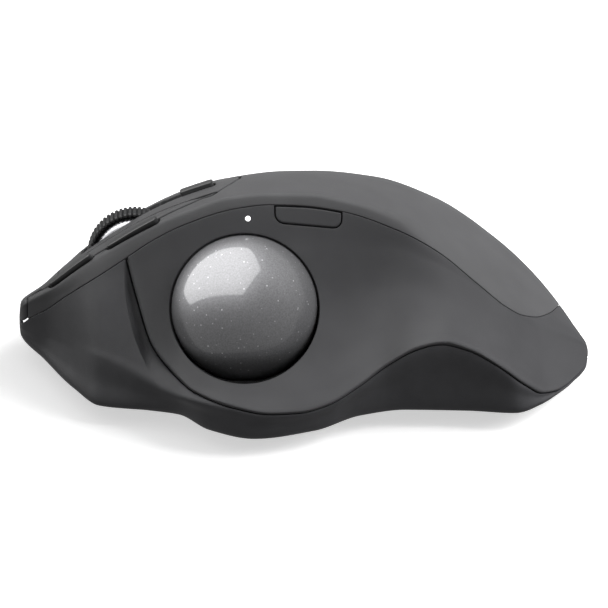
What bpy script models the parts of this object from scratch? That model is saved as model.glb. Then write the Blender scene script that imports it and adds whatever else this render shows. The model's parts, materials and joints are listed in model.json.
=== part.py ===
"""Thumb-operated trackball mouse: a right-handed body on a tilting steel base.

Frame: +X runs from the nose to the heel, -Y is the thumb side, +Z is up, and the origin is the bottom
centre of the whole object's box. Sizes below are in millimetres; MM turns them into metres.
"""
import math

import bmesh
import bpy
from mathutils import Matrix, Vector

MM = 0.001

# Driving dimensions of the body (mm)
HALF_LENGTH = 66.0          # body, nose to heel, without the small dome on each end
END_DOME = 0.25
FLOOR_Z = 3.8               # underside of the body above the table
RIDGE_Y = 18.25             # the underside bends up to the right of this line
TILT_DEG = 20.0
SHELL = 1.8                 # wall thickness of shells and covers, thinner towards nose and heel
SEAM = 0.36                 # gap between two covers
HALF_SEAM = SEAM / 2
BUTTON_DROP = 0.45          # extra room below the two main buttons for their travel
BUTTON_SEAM = 0.3           # the buttons' own share of the gap to the palm cover
STATIONS = 32               # sections along the body

# The seams of the thumb side are laid out in a plane that leans back by this angle from the vertical.
LEAN = math.radians(27.0)
COS_L, SIN_L = math.cos(LEAN), math.sin(LEAN)

# Ball and its opening (mm)
BALL_R = 17.0
BALL_X, BALL_W, BALL_D = -13.7, 12.4, -32.0
OPENING_R = 17.4
CUP_INNER, CUP_OUTER = 17.5, 19.0
BEARING_R = 1.1

# Scroll wheel (mm)
WHEEL_R, WHEEL_WIDTH = 11.1, 8.0
HUB_R = 9.9
WHEEL_CENTRE = Vector((-39.3, 3.0, 26.0))
WHEEL_LEAN = math.radians(-14.0)
NOTCHES = 36

# Tilting base (mm)
PLATE_CENTRE = (4.0, 4.0)
PLATE_HALF = (46.0, 29.0)
PLATE_Z = (1.2, 3.4)
PAD_Z = (0.0, 0.9)
HINGE_Z = 5.2
HINGE_X = (-26.0, 34.0)
PIN_R = 1.0

PARTS = "trackball_mouse"
CUTTERS = "cutters"


# ---------------------------------------------------------------- curves along the body

def along(x):
    """Position along the body from 0 at the nose to 1 at the heel, slowing down at both round ends."""
    return math.acos(max(-1.0, min(1.0, -x / HALF_LENGTH))) / math.pi


def smooth(*points):
    """A smooth curve through (x, value) points that never overshoots them."""
    us = [along(x) for x, value in points]
    vs = [value for x, value in points]
    steps = [us[i + 1] - us[i] for i in range(len(us) - 1)]
    slopes = [(vs[i + 1] - vs[i]) / steps[i] for i in range(len(steps))]
    tangents = [slopes[0]]
    for i in range(1, len(slopes)):
        before, after = slopes[i - 1], slopes[i]
        flat = before * after <= 0.0
        tangents.append(0.0 if flat else 2.0 * before * after / (before + after))
    tangents.append(slopes[-1])

    def value(x):
        u = along(x)
        i = 0
        while i < len(steps) - 1 and u > us[i + 1]:
            i += 1
        t = max(0.0, min(1.0, (u - us[i]) / steps[i]))
        a, b = 1 - t, t
        return (a * a * (1 + 2 * t) * vs[i] + t * a * a * steps[i] * tangents[i]
                + b * b * (3 - 2 * t) * vs[i + 1] - b * b * a * steps[i] * tangents[i + 1])
    return value


# Each W curve is a height in the leaning plane, each Y curve a distance to the right of the middle.
W_TOP = smooth((-66, 13.4), (-61.8, 17.1), (-55.3, 22.7), (-52.1, 25.5), (-44, 31.3), (-35.7, 36.2),
               (-27, 40), (-18.3, 42.5), (-4.3, 44.3), (2.7, 44.4), (16.6, 43), (30.6, 38.1), (44.6, 28.8),
               (58.1, 15.3), (60.9, 11.6), (63.4, 7.9), (65.1, 5.0), (66, 3.1))
Y_TOP = smooth((-66, 3), (-57, 7), (-50, 9.5), (-36, 12), (0, 14), (30, 13.5), (45, 12), (59, 8), (66, -3))
W_CREASE = smooth((-66, 12.4), (-59.5, 17.1), (-49, 24), (-33.2, 32.6), (-25.5, 35.7), (-17.1, 38.4),
                  (-7.8, 39.2), (1.3, 39.1), (8.7, 37.8), (22, 34), (29, 30), (45, 19), (55, 11.5), (66, 3.3))
Y_CREASE = smooth((-66, -1), (-59.5, -7), (-54, -10), (-49, -11.8), (-41, -12.3), (-25, -11), (-8, -9.3),
                  (9, -9), (29, -10), (45, -9), (55, -7), (66, -5))
CREASE_ROUND = smooth((-66, 0.9), (10, 1.1), (28, 2.5), (45, 4.5), (60, 2.5), (66, 0.5))
W_SHELF = smooth((-66, 8.6), (-60, 5.5), (-55, 3.5), (-47.5, 1), (-41, -2), (-31, -7.3), (-25.5, -9),
                 (-16.4, -11), (-8, -12.4), (-1, -12.1), (6, -10.2), (13, -6), (20, -0.8), (27, 2.9), (33, 4),
                 (40, 1.9), (47, -2.3), (52, -5.8), (56, -7.5), (60, -5.9), (66, 1.5))
Y_SHELF = smooth((-66, 0), (-60, -7.5), (-55, -15.5), (-47.5, -27), (-41, -30.5), (-31, -38), (-25.5, -43.5),
                 (-16.4, -48.5), (-9, -49.8), (-1, -48.7), (6, -45.5), (13, -41), (20, -37), (33, -35),
                 (47, -35.8), (52, -33.8), (56, -30), (60, -24.3), (66, -8))
SCOOP = smooth((-66, 0), (-50, -0.6), (-42, 0.0), (-34, 0.8), (-26, 3.0), (-14, 4.2), (5, 4), (33, 2.4),
               (55, 0.3), (66, 0))
W_FLOOR = smooth((-66, 7.4), (-61.4, 2.2), (-53.2, -5.7), (-47.5, -9.6), (-35.7, -10.8), (-28.8, -11.8),
                 (-21.8, -15.3), (-11.3, -17.35), (2.7, -15.5), (13.2, -12), (23.6, -10.6), (37.6, -10.8),
                 (49, -11.4), (55.1, -9.7), (60.7, -6.4), (63.5, -3.8), (66, 0))
Z_SIDE = smooth((-66, 7), (-60, 5.6), (-47, 5.2), (50, 5.2), (60, 4.9), (66, 4.7))
FLOOR = smooth((-66, 5.8), (-58, FLOOR_Z), (66, FLOOR_Z))
Y_RIGHT = smooth((-66, 6), (-60, 19), (-50, 27), (-35, 36), (-20, 43), (-5, 48), (8, 49.9), (20, 48.4),
                 (33, 42.5), (43, 35), (50, 27.5), (56, 19), (60, 12.6), (63, 7.2), (64.8, 2.6), (66, -1.6))

# Seams
W_COVER = smooth((-66, 7.9), (-60.5, 11.7), (-55, 15.3), (-48.2, 19.5), (-42, 23.5), (-35.4, 27.9),
                 (-27.6, 31.8), (-15.7, 35.5), (-7.8, 36.4), (-0.8, 36.2), (8.7, 34.9), (22, 30.4),
                 (31.2, 25.5), (40.4, 18.1), (47.2, 12.7), (51, 10.8), (54.1, 10.4), (57, 11.2), (60, 13.5),
                 (66, 24))
PANEL_FRONT = -41.4
W_PANEL = smooth((PANEL_FRONT, 23.9), (-39, 15), (-35.5, 4.1), (-31.3, -1.7), (-25.5, -7.1), (-16.4, -10.8),
                 (-7.6, -12.4), (-0.8, -12.1), (6.1, -10.2), (12.9, -6.1), (19.7, -1), (26.7, 2.8), (32.1, 4),
                 (38.1, 2.6), (44.9, -1), (51.8, -5.7), (55.5, -7.4), (58.7, -6.9), (63.7, -3.4), (66, 1))
WALL = smooth((-66, 0.6), (-60, 1.4), (-52, SHELL), (50, SHELL), (60, 0.9), (66, 0.25))
SKIRT = smooth((-66, 5.0), (-50, 5.0), (-35, 4.0), (0, 3.0), (40, 2.4), (58, 1.7), (66, 0.5))
SPLIT = ((-14, -24.5), (-8, -22.5), (-5, -20), (0, -17), (6, -14.8), (14, -14.5), (25, -18), (35, -24),
         (50, -36))
W_SPLIT = smooth((-66, 13), (-59.5, 17.6), (-49, 24.6), (-40, 29.8), (-33.2, 33.6), (-27, 36.5),
                 (-22.7, 38.3), (-10, 41), (66, 41))
LIP_X = -64.4               # the left button's lip wraps round the nose ahead of this
MIDDLE = 3.4                # the two main buttons meet here ahead of the centre strip
STRIP_FRONT = -57.0         # and the strip starts here
TOP_GAP = 0.35              # how much wider the gap behind the buttons is across the top
SPINE = (-4.0, 10.8)        # the centre strip runs between these distances to the right of the middle
RIGHT_BIAS = 0.3            # how fast the cover's seam drops on the right-hand side


# ---------------------------------------------------------------- the body's surface

def from_plane(y, w):
    """The (y, z) of a point at y whose height in the leaning plane is w."""
    return Vector((y, (w - y * SIN_L) / COS_L))


def facet(y, floor=FLOOR_Z):
    """Height of the underside: level, then rising to the right of the ridge."""
    return floor + max(0.0, y - RIDGE_Y) * math.tan(math.radians(TILT_DEG))


def section(x):
    """Corner points (y, z) of the body's section at x, clockwise from the bottom left."""
    floor = FLOOR(x)
    side = Vector(((W_FLOOR(x) - Z_SIDE(x) * COS_L) / SIN_L, Z_SIDE(x)))
    shelf = from_plane(Y_SHELF(x), W_SHELF(x))
    crease = from_plane(Y_CREASE(x), W_CREASE(x))
    top = from_plane(Y_TOP(x), W_TOP(x))
    inward = Vector((COS_L, -SIN_L)) * SCOOP(x)
    scoop = [shelf.lerp(crease, part) + inward * depth
             for part, depth in ((0.09, 0.2), (0.27, 0.78), (0.5, 1.0), (0.75, 0.6))]
    radius = CREASE_ROUND(x)
    band = crease + (scoop[-1] - crease).normalized() * radius
    brow = crease + (top - crease).normalized() * radius
    rise = Vector((0.0, 0.05 * (top - brow).length))
    right = Vector((Y_RIGHT(x), 0.0))
    right.y = max(facet(right.x, floor) + 3.4, floor + 2.0)
    right.y = min(right.y, 0.5 * (top.y + floor + 1.0)) if x < -60 or x > 60 else right.y
    shoulder = Vector((top.x + 0.55 * (right.x - top.x), right.y + 0.66 * (top.y - right.y)))
    for point in (right, shoulder):
        hidden = (W_TOP(x) - 0.03 * (point.x - top.x) - point.x * SIN_L) / COS_L
        point.y = max(min(point.y, hidden), facet(point.x, floor) + 1.2)
    hem_y = right.x - min(2.6, 0.25 * (right.x - top.x) + 0.4)
    hem = Vector((hem_y, facet(hem_y, floor)))
    ridge_y = min(RIDGE_Y, hem_y - 1.0)
    foot_y = side.x + min(1.9, 0.3 * (ridge_y - side.x))
    lower = side.lerp(shelf, 0.5) + Vector((0.25, 0.0))
    return [side, lower, shelf, *scoop, band, brow, brow.lerp(top, 0.5) + rise, top, shoulder, right, hem,
            Vector((ridge_y, facet(ridge_y, floor))), Vector((foot_y, floor))]


# Subdivisions of each stretch between two section points, and the three that are straight.
STRETCHES = (1, 1, 2, 3, 3, 3, 3, 2, 3, 3, 3, 3, 2, 2, 3, 1)
STRAIGHT = (13, 14)


def between(points, i, t):
    """A point on stretch i of a closed section: straight, or a curve through its neighbours."""
    n = len(points)
    p0, p1, p2, p3 = (points[(i + k) % n] for k in (-1, 0, 1, 2))
    if i in STRAIGHT:
        return p1.lerp(p2, t)
    length = (p2 - p1).length
    out = (p2 - p0) * (length / max(1e-6, (p1 - p0).length + length))
    into = (p3 - p1) * (length / max(1e-6, (p3 - p2).length + length))
    a, b = 1 - t, t
    return p1 * (a * a * (1 + 2 * t)) + out * (t * a * a) + p2 * (b * b * (3 - 2 * t)) - into * (b * b * a)


def ring(x, stretches):
    points = section(x)
    floor = FLOOR(x)
    loop = []
    for i, count in enumerate(stretches):
        for k in range(count):
            point = between(points, i, k / count)
            loop.append(Vector((x, point.x, max(point.y, facet(point.x, floor)))))
    return loop


def body_surface(stations=STATIONS, density=1):
    """The whole outer surface as a closed mesh in millimetres, with an averaged normal on each vertex."""
    stretches = [count * density for count in STRETCHES]
    bm = bmesh.new()
    rows = []
    for i in range(stations + 1):
        u = i / stations
        x = HALF_LENGTH * (-0.75 * math.cos(math.pi * u) + 0.25 * (2 * u - 1))
        rows.append([bm.verts.new(p) for p in ring(x, stretches)])
    count = len(rows[0])
    for loop, sign in ((rows[0], -1), (rows[-1], 1)):
        middle = sum((v.co for v in loop), Vector()) / count + Vector((sign * END_DOME, 0, 0))
        tip = bm.verts.new(middle)
        for k in range(count):
            bm.faces.new((loop[k], loop[(k + 1) % count], tip))
    for a, b in zip(rows, rows[1:]):
        for k in range(count):
            bm.faces.new((a[k], a[(k + 1) % count], b[(k + 1) % count], b[k]))
    bmesh.ops.recalc_face_normals(bm, faces=bm.faces)
    bm.normal_update()
    average_normals(bm, rounds=3)
    return bm


def average_normals(bm, rounds):
    """Store on each vertex its normal averaged over its neighbours, so that walls turn tight corners."""
    layer = bm.verts.layers.float_vector.new("wall")
    for v in bm.verts:
        v[layer] = v.normal
    for _ in range(rounds):
        mixed = {}
        for v in bm.verts:
            total = Vector(v[layer])
            for edge in v.link_edges:
                total += Vector(edge.other_vert(v)[layer])
            mixed[v] = total.normalized()
        for v, normal in mixed.items():
            v[layer] = normal


def crossing(field, a, b, value_a):
    """Fraction of the way from a to b at which the field changes sign."""
    low, high = 0.0, 1.0
    for _ in range(18):
        mid = 0.5 * (low + high)
        if field(a.lerp(b, mid)) * value_a > 0.0:
            low = mid
        else:
            high = mid
    return 0.5 * (low + high)


def clip(bm, field):
    """Keep the part of a surface where field(point) is positive, with its edge exactly on field zero."""
    layer = bm.verts.layers.float_vector["wall"]
    values = {v: field(v.co) for v in bm.verts}
    edge_verts = {v for v, value in values.items() if abs(value) < 1e-4}
    for v in edge_verts:
        values[v] = 0.0
    for edge in list(bm.edges):
        a, b = edge.verts
        if values[a] * values[b] < 0.0:
            t = crossing(field, a.co, b.co, values[a])
            normal = Vector(a[layer]).lerp(Vector(b[layer]), t).normalized()
            new_edge, vert = bmesh.utils.edge_split(edge, a, t)
            vert[layer] = normal
            values[vert] = 0.0
            edge_verts.add(vert)
    for face in list(bm.faces):
        on_line = [v for v in face.verts if v in edge_verts]
        kinds = {values[v] > 0.0 for v in face.verts if v not in edge_verts}
        if len(on_line) >= 2 and len(kinds) == 2:
            bmesh.ops.connect_verts(bm, verts=on_line)
    outside = [f for f in bm.faces if sum(values[v] for v in f.verts) <= 0.0]
    bmesh.ops.delete(bm, geom=outside, context="FACES")
    return bm


def thicken(bm, outward=0.0):
    """Turn an open surface into a closed wall, from outward mm above it to the wall's depth below it."""
    layer = bm.verts.layers.float_vector["wall"]
    solid = bmesh.new()
    outer = {v: solid.verts.new(v.co + Vector(v[layer]) * outward) for v in bm.verts}
    inner = {v: solid.verts.new(v.co - Vector(v[layer]) * WALL(v.co.x)) for v in bm.verts}
    for face in bm.faces:
        solid.faces.new([outer[v] for v in face.verts])
        solid.faces.new([inner[v] for v in reversed(face.verts)])
    for edge in bm.edges:
        if len(edge.link_faces) == 1:
            loop = edge.link_loops[0]
            a, b = loop.vert, loop.link_loop_next.vert
            solid.faces.new((outer[b], outer[a], inner[a], inner[b]))
    bm.free()
    bmesh.ops.triangulate(solid, faces=[f for f in solid.faces if len(f.verts) > 3])
    bmesh.ops.recalc_face_normals(solid, faces=solid.faces)
    return solid


# ---------------------------------------------------------------- regions of the surface

def height_in_plane(p):
    return p.z * COS_L + p.y * SIN_L


def above(curve, p):
    """Distance above a seam curve, measured across the seam."""
    slope = (curve(p.x + 0.2) - curve(p.x - 0.2)) / 0.4
    return (height_in_plane(p) - curve(p.x)) / math.hypot(1.0, slope)


def over_skirt(p):
    return p.z - facet(p.y, FLOOR(p.x)) - SKIRT(p.x)


def panel_line(p):
    """Distance above the lower seam, which runs up the front wall and joins the cover's seam."""
    front = cover_line(p)
    if p.x <= PANEL_FRONT:
        return front
    return max(front, above(W_PANEL, p))


def upper(p):
    return min(panel_line(p), over_skirt(p))


def under_button(p):
    """Distance into the band below the left button's lower edge, behind the lip at the nose."""
    return min(-above(W_SPLIT, p) - max(0.0, p.y + 2.0), p.x - LIP_X)


def strip_area(p):
    """Distance inside the centre strip's two sides and front end."""
    return min(p.y - SPINE[0], SPINE[1] - p.y, p.x - STRIP_FRONT)


def split_line(p, widened=0.0):
    """Distance beyond the line where the two buttons and the strip meet the palm cover."""
    i = 0
    while i < len(SPLIT) - 2 and p.y > SPLIT[i + 1][0]:
        i += 1
    (y0, x0), (y1, x1) = SPLIT[i], SPLIT[i + 1]
    line = x0 + (x1 - x0) * (p.y - y0) / (y1 - y0)
    return max((p.x - line) / math.hypot(1.0, (x1 - x0) / (y1 - y0)) + widened, under_button(p))


def button_end(p):
    """The same line from the buttons' side, further forward where it crosses the top."""
    return split_line(p, TOP_GAP)


def beyond(field, gap=HALF_SEAM):
    return lambda p: field(p) - gap


def short_of(field, gap=HALF_SEAM):
    return lambda p: -field(p) - gap


def cover_line(p):
    """Distance above the cover's seam; on the right-hand side the cover runs down to the skirt."""
    return above(W_COVER, p) + RIGHT_BIAS * max(0.0, p.y - 15.0)


def nose_side(x):
    return lambda p: x - p.x


def heel_side(x):
    return lambda p: p.x - x


def right_of(y):
    return lambda p: p.y - y


def left_of(y):
    return lambda p: y - p.y


COVER = (beyond(cover_line), beyond(over_skirt))
BUTTON = (beyond(cover_line, HALF_SEAM + BUTTON_DROP), beyond(over_skirt, HALF_SEAM + BUTTON_DROP),
          short_of(button_end, BUTTON_SEAM), short_of(strip_area))


# ---------------------------------------------------------------- object helpers

def clear_scene():
    for obj in list(bpy.data.objects):
        bpy.data.objects.remove(obj, do_unlink=True)
    for name in (PARTS, CUTTERS):
        bpy.context.scene.collection.children.link(bpy.data.collections.new(name))


def material(name, colour, roughness, metallic=0.0):
    mat = bpy.data.materials.new(name)
    mat.use_nodes = True
    shader = mat.node_tree.nodes["Principled BSDF"]
    shader.inputs["Base Color"].default_value = (*colour, 1.0)
    shader.inputs["Roughness"].default_value = roughness
    shader.inputs["Metallic"].default_value = metallic
    return mat


def add(name, bm, mat, origin=(0, 0, 0), smooth_angle=35.0):
    """Make a part from a bmesh in millimetres, with its own origin at the given place."""
    origin = Vector(origin)
    for v in bm.verts:
        v.co = (v.co - origin) * MM
    mesh = bpy.data.meshes.new(name)
    bm.to_mesh(mesh)
    bm.free()
    mesh.materials.append(material(name, *mat))
    mesh.shade_smooth()
    mesh.set_sharp_from_angle(angle=math.radians(smooth_angle))
    obj = bpy.data.objects.new(name, mesh)
    obj.location = origin * MM
    bpy.data.collections[PARTS].objects.link(obj)
    return obj


def cutter(name, bm):
    for v in bm.verts:
        v.co = v.co * MM
    mesh = bpy.data.meshes.new(name)
    bm.to_mesh(mesh)
    bm.free()
    obj = bpy.data.objects.new(name, mesh)
    obj.hide_render = True
    obj.display_type = "WIRE"
    bpy.data.collections[CUTTERS].objects.link(obj)
    return obj


def combine(obj, tool, operation="DIFFERENCE"):
    modifier = obj.modifiers.new(tool.name, "BOOLEAN")
    modifier.operation = operation
    modifier.solver = "EXACT"
    modifier.object = tool


def block(centre, size, turn=None):
    bm = bmesh.new()
    bmesh.ops.create_cube(bm, size=1.0)
    place(bm, centre, turn, size)
    return bm


def place(bm, centre, turn=None, size=(1, 1, 1)):
    matrix = Matrix.Translation(centre) @ (turn or Matrix()) @ Matrix.Diagonal((*size, 1))
    bmesh.ops.transform(bm, matrix=matrix, verts=bm.verts)


def rod(centre, radius, length, axis="Z", sides=16, turn=None):
    """A cylinder along an axis."""
    bm = bmesh.new()
    bmesh.ops.create_cone(bm, cap_ends=True, segments=sides, radius1=radius, radius2=radius, depth=length)
    lay = {"Z": Matrix(), "X": Matrix.Rotation(math.pi / 2, 4, "Y"),
           "Y": Matrix.Rotation(-math.pi / 2, 4, "X")}
    place(bm, centre, (turn or Matrix()) @ lay[axis])
    return bm


def ball(centre, radius, segments=24, rings=16, turn=None):
    bm = bmesh.new()
    bmesh.ops.create_uvsphere(bm, u_segments=segments, v_segments=rings, radius=radius)
    place(bm, centre, turn)
    return bm


def rounded(bm, width, segments=2):
    """Round the sharp edges of a simple solid."""
    sharp = [e for e in bm.edges if e.calc_face_angle(0.0) > math.radians(50)]
    bmesh.ops.bevel(bm, geom=sharp, offset=width, segments=segments, affect="EDGES", profile=0.5)
    return bm


def prism(outline, low, high, to_world):
    """A closed prism over a flat outline of (a, b) points, placed by a function from (a, b, c) to world."""
    bm = bmesh.new()
    bottom = [bm.verts.new(to_world(a, b, low)) for a, b in outline]
    top = [bm.verts.new(to_world(a, b, high)) for a, b in outline]
    n = len(outline)
    for k in range(n):
        bm.faces.new((bottom[k], bottom[(k + 1) % n], top[(k + 1) % n], top[k]))
    bm.faces.new(bottom[::-1])
    bm.faces.new(top)
    bmesh.ops.recalc_face_normals(bm, faces=bm.faces)
    return bm


def from_lean(x, w, d):
    """World point at x, height w in the leaning plane and depth d behind it."""
    return Vector((x, d * COS_L + w * SIN_L, w * COS_L - d * SIN_L))


BALL_CENTRE = from_lean(BALL_X, BALL_W, BALL_D)
LEAN_TURN = Matrix.Rotation(-LEAN, 4, "X")          # turns the Y axis into the leaning plane's depth
WHEEL_TURN = Matrix.Rotation(WHEEL_LEAN, 4, "X")

SEAT_TILT = math.radians(19.0)                      # the ball's seat leans back more than the seams do
SEAT_TURN = Matrix.Rotation(-LEAN - SEAT_TILT, 4, "X")
SENSOR_TURN = Matrix.Rotation(-math.atan2(0.6, 0.8), 4, "X")
TILT_AXIS = WHEEL_CENTRE + WHEEL_TURN @ Vector((0, 0, -5.0))
LEFT_HINGE = Vector((-21.0, -9.0, 42.0))
RIGHT_HINGE = Vector((-18.0, 20.0, 38.0))
EJECT_R = 1.9
LED = (-12.9, 33.2)
D_BUTTON = (1.1, -12.0, 43.6)
D_LOW = 28.0                # no part of the D-shaped button is lower than this in the leaning plane
PRESS_ROOM = 0.2                                    # extra gap above the D-shaped button for its travel
SIDE_BUTTONS = ((-59.0, -49.1), (-45.4, -33.8))     # forward and back, from and to along the body
PAIRING = (-28.5, -21.0, 2.2, 7.4)
SCREWS = ((-30.0, -1.5), (8.0, 9.5), (22.0, -13.0), (46.0, 8.0))

# The buttons' tops lie near a plane that rises to the rear and falls to the right.
SLOPE_X, SLOPE_Y = 0.615, -0.338
UP = Vector((-SLOPE_X, -SLOPE_Y, 1.0)).normalized()
REAR = Vector((1.0, 0.0, SLOPE_X)).normalized()
BUTTON_TURN = Matrix((REAR, UP.cross(REAR), UP)).transposed().to_4x4()
BUTTON_FRAME = Matrix.Translation((-44.0, 0.0, 32.5)) @ BUTTON_TURN
# Name, place along and across the board, width, and height of the top below the buttons' plane
SWITCHES = (("left_switch", 0.0, -6.3, 5.0, -4.2), ("right_switch", -5.4, 16.4, 5.0, -5.2),
            ("forward_switch", -4.9, -8.4, 3.0, -6.0), ("back_switch", 6.0, -8.4, 3.0, -6.0),
            ("wheel_switch", 18.5, 12.0, 4.0, -6.5), ("pairing_switch", 21.5, 5.0, 3.6, -4.2))

DARK = ((0.070, 0.071, 0.074), 0.55)
SKIN = ((0.095, 0.096, 0.099), 0.60)
BLACK = ((0.012, 0.012, 0.013), 0.45)
BOARD = ((0.010, 0.085, 0.045), 0.55)
STEEL = ((0.55, 0.56, 0.58), 0.32, 1.0)
GREY = ((0.30, 0.30, 0.31), 0.40)
WHITE = ((0.80, 0.80, 0.78), 0.35)


# ---------------------------------------------------------------- covers

def cover(name, limits, mat, origin=(0, 0, 0), outward=0.0, density=1):
    """A wall cut from the body's surface, kept where every limit is positive."""
    bm = body_surface(STATIONS * density, density)
    for field in limits:
        clip(bm, field)
    return add(name, thicken(bm, outward=outward), mat, origin)


def surface_depth(x, w):
    """Depth behind the leaning plane of the thumb side at x and height w."""
    points = section(x)
    best = None
    for i in range(1, 9):
        for k in range(8):
            p = between(points, i, k / 8)
            gap = abs(p.y * COS_L + p.x * SIN_L - w)
            if best is None or gap < best[0]:
                best = (gap, p.x * COS_L - p.y * SIN_L)
    return best[1]


def side_button_prism(x0, x1, gap):
    """Prism square to the buttons' plane over a strip beside the crease, widened by gap."""
    xs = [x0 - gap + (x1 - x0 + 2 * gap) * k / 4 for k in range(5)]
    near = [(x, Y_CREASE(x) + 0.6 - gap) for x in xs]
    far = [(x, Y_CREASE(x) + 3.0 + gap) for x in reversed(xs)]
    return prism(near + far, -5, 4, lambda a, b, c: Vector((a, *from_plane(b, W_CREASE(a)))) + UP * c)


def pairing_prism(gap):
    x0, x1, y0, y1 = PAIRING
    outline = [(x0 - gap, y0 - gap), (x1 + gap, y0 - gap), (x1 + gap, y1 + gap), (x0 - gap, y1 + gap)]
    return prism(outline, -5, 5, lambda a, b, c: Vector((a, b, 42.5)) + UP * c)


def make_lower_shell():
    shell = cover("lower_shell", (short_of(upper),), DARK)
    for k, x in enumerate(HINGE_X):
        combine(shell, cutter(f"hinge_slot_{k}", block((x, RIDGE_Y, 5.0), (12.2, 7.4, 8.0))))
    for k, (x, y) in enumerate(SCREWS):
        combine(shell, cutter(f"screw_hole_{k}", rod((x, y, 5.0), 2.5, 8.0)))
    combine(shell, cutter("eject_hole", rod((BALL_CENTRE.x, BALL_CENTRE.y, 5.0), EJECT_R, 8.0)))
    combine(shell, cutter("slider_slot", block((-52.0, 1.0, 5.0), (8.0, 4.0, 8.0))))
    combine(shell, cutter("port_slot", block((-65.0, 9.5, 7.0), (14.0, 9.0, 3.2))))


def make_thumb_panel():
    limits = (beyond(upper), short_of(cover_line), heel_side(PANEL_FRONT + HALF_SEAM))
    panel = cover("thumb_panel", limits, SKIN)
    combine(panel, cutter("ball_opening", rod(BALL_CENTRE, OPENING_R, 60, "Y", 48, LEAN_TURN)))
    combine(panel, cutter("d_opening", d_prism(0.3)))
    x, w = LED
    combine(panel, cutter("led_hole", rod(from_lean(x, w, surface_depth(x, w)), 0.9, 8, "Y", 12, LEAN_TURN)))


def d_prism(gap):
    """Prism along the depth of the leaning plane over the D-shaped button's outline, widened by gap."""
    lower = [(-6.5 - gap, 34.6), (-5.9 - gap, 33.1 - gap), (-4.6, 32.2 - gap), (1.0, 31.7 - gap),
             (6.1, 31.25 - gap), (7.7 + gap, 32.1 - gap), (8.7 + gap, 34.0)]
    outline = lower + [(8.8 + gap, 38.0), (-6.5 - gap, 38.0)]
    return prism(outline, -40, -20, from_lean)


def make_covers():
    make_lower_shell()
    make_thumb_panel()
    palm = cover("palm_cover", (*COVER, beyond(split_line)), SKIN)
    left = cover("left_button", (*BUTTON, left_of(MIDDLE - HALF_SEAM)), SKIN, LEFT_HINGE)
    for k, (x0, x1) in enumerate(SIDE_BUTTONS):
        slot = cutter(f"side_slot_{k}", side_button_prism(x0, x1, 0.3))
        combine(left, slot)
        combine(palm, slot)
    cover("right_button", (*BUTTON, right_of(MIDDLE + HALF_SEAM)), SKIN, RIGHT_HINGE)
    strip = cover("centre_strip", (beyond(strip_area), beyond(over_skirt), short_of(button_end)), SKIN)
    combine(strip, cutter("wheel_slot", block(WHEEL_CENTRE, (25.0, WHEEL_WIDTH + 1.8, 40.0), WHEEL_TURN)))
    combine(strip, cutter("pairing_slot", pairing_prism(0.3)))


def button_cap(name, limits, shape, mat, origin, outward):
    """A small button: a piece of the body's wall, raised and trimmed to the button's outline."""
    cap = cover(name, limits, mat, origin, outward, density=2)
    combine(cap, cutter(name + "_shape", shape), "INTERSECT")


def make_small_buttons():
    for name, (x0, x1) in zip(("forward_button", "back_button"), SIDE_BUTTONS):
        middle = 0.5 * (x0 + x1)
        limits = (heel_side(x0 - 2), nose_side(x1 + 2), beyond(cover_line), left_of(1.0))
        origin = Vector((middle, *from_plane(Y_CREASE(middle) + 2.6, W_CREASE(middle))))
        button_cap(name, limits, side_button_prism(x0, x1, 0.0), BLACK, origin, 1.0)
    x0, x1, y0, y1 = PAIRING
    limits = (heel_side(x0 - 2), nose_side(x1 + 2), right_of(y0 - 3), left_of(y1 + 3))
    origin = (0.5 * (x0 + x1), 0.5 * (y0 + y1), 42.5)
    button_cap("pairing_button", limits, pairing_prism(0.0), BLACK, origin, 0.8)
    limits = (short_of(cover_line, HALF_SEAM + PRESS_ROOM), heel_side(-8.0), nose_side(10.0), above_d)
    button_cap("precision_button", limits, d_prism(0.0), SKIN, D_BUTTON, 0.15)
    x, w = LED
    depth = surface_depth(x, w)
    add("status_light", rod(from_lean(x, w, depth + 1.9), 0.55, 4.0, "Y", 12, LEAN_TURN), WHITE)


def above_d(p):
    return height_in_plane(p) - D_LOW


# ---------------------------------------------------------------- ball and its seat

def toward_sensor(distance):
    return BALL_CENTRE + Vector((0.0, 0.8, -0.6)) * distance


def make_ball_group():
    obj = add("trackball", ball((0, 0, 0), BALL_R, 28, 16), ((0.30, 0.30, 0.31), 0.15))
    obj.location = BALL_CENTRE * MM
    cup = add("ball_cup", ball(BALL_CENTRE, CUP_OUTER, 24, 14), BLACK)
    combine(cup, cutter("cup_hollow", ball(BALL_CENTRE, CUP_INNER, 24, 14)))
    out = SEAT_TURN @ Vector((0, -1, 0))
    combine(cup, cutter("cup_mouth", block(BALL_CENTRE + out * 16.0, (60, 40, 60), SEAT_TURN)))
    combine(cup, cutter("sensor_window", rod(toward_sensor(19), 3.0, 8, "Y", 16, SENSOR_TURN)))
    combine(cup, cutter("cup_eject", rod((BALL_CENTRE.x, BALL_CENTRE.y, 5), EJECT_R, 14)))
    retainer = add("ball_retaining_ring", rod(BALL_CENTRE - out * 2.5, 18.3, 2.2, "Y", 40, SEAT_TURN), BLACK)
    combine(retainer, cutter("ring_bore", rod(BALL_CENTRE, BALL_R + 0.4, 8, "Y", 40, SEAT_TURN)))
    for k in range(3):
        angle = math.radians(90 + 120 * k)
        aim = SEAT_TURN @ Vector((math.cos(angle) * 0.8, 0.6, math.sin(angle) * 0.8))
        seat = BALL_CENTRE + aim * (BALL_R + 0.3 + BEARING_R)
        combine(cup, cutter(f"bearing_seat_{k}", ball(seat, BEARING_R + 0.35, 12, 8)))
        add(f"ball_bearing_{k + 1}", ball(seat, BEARING_R, 12, 8), WHITE)
    add("sensor_lens", rod(toward_sensor(19.2), 2.4, 2.4, "Y", 16, SENSOR_TURN), WHITE)
    add("sensor_module", rounded(block(toward_sensor(22.2), (9, 2.6, 9), SENSOR_TURN), 0.4), BLACK)


# ---------------------------------------------------------------- scroll wheel

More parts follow.
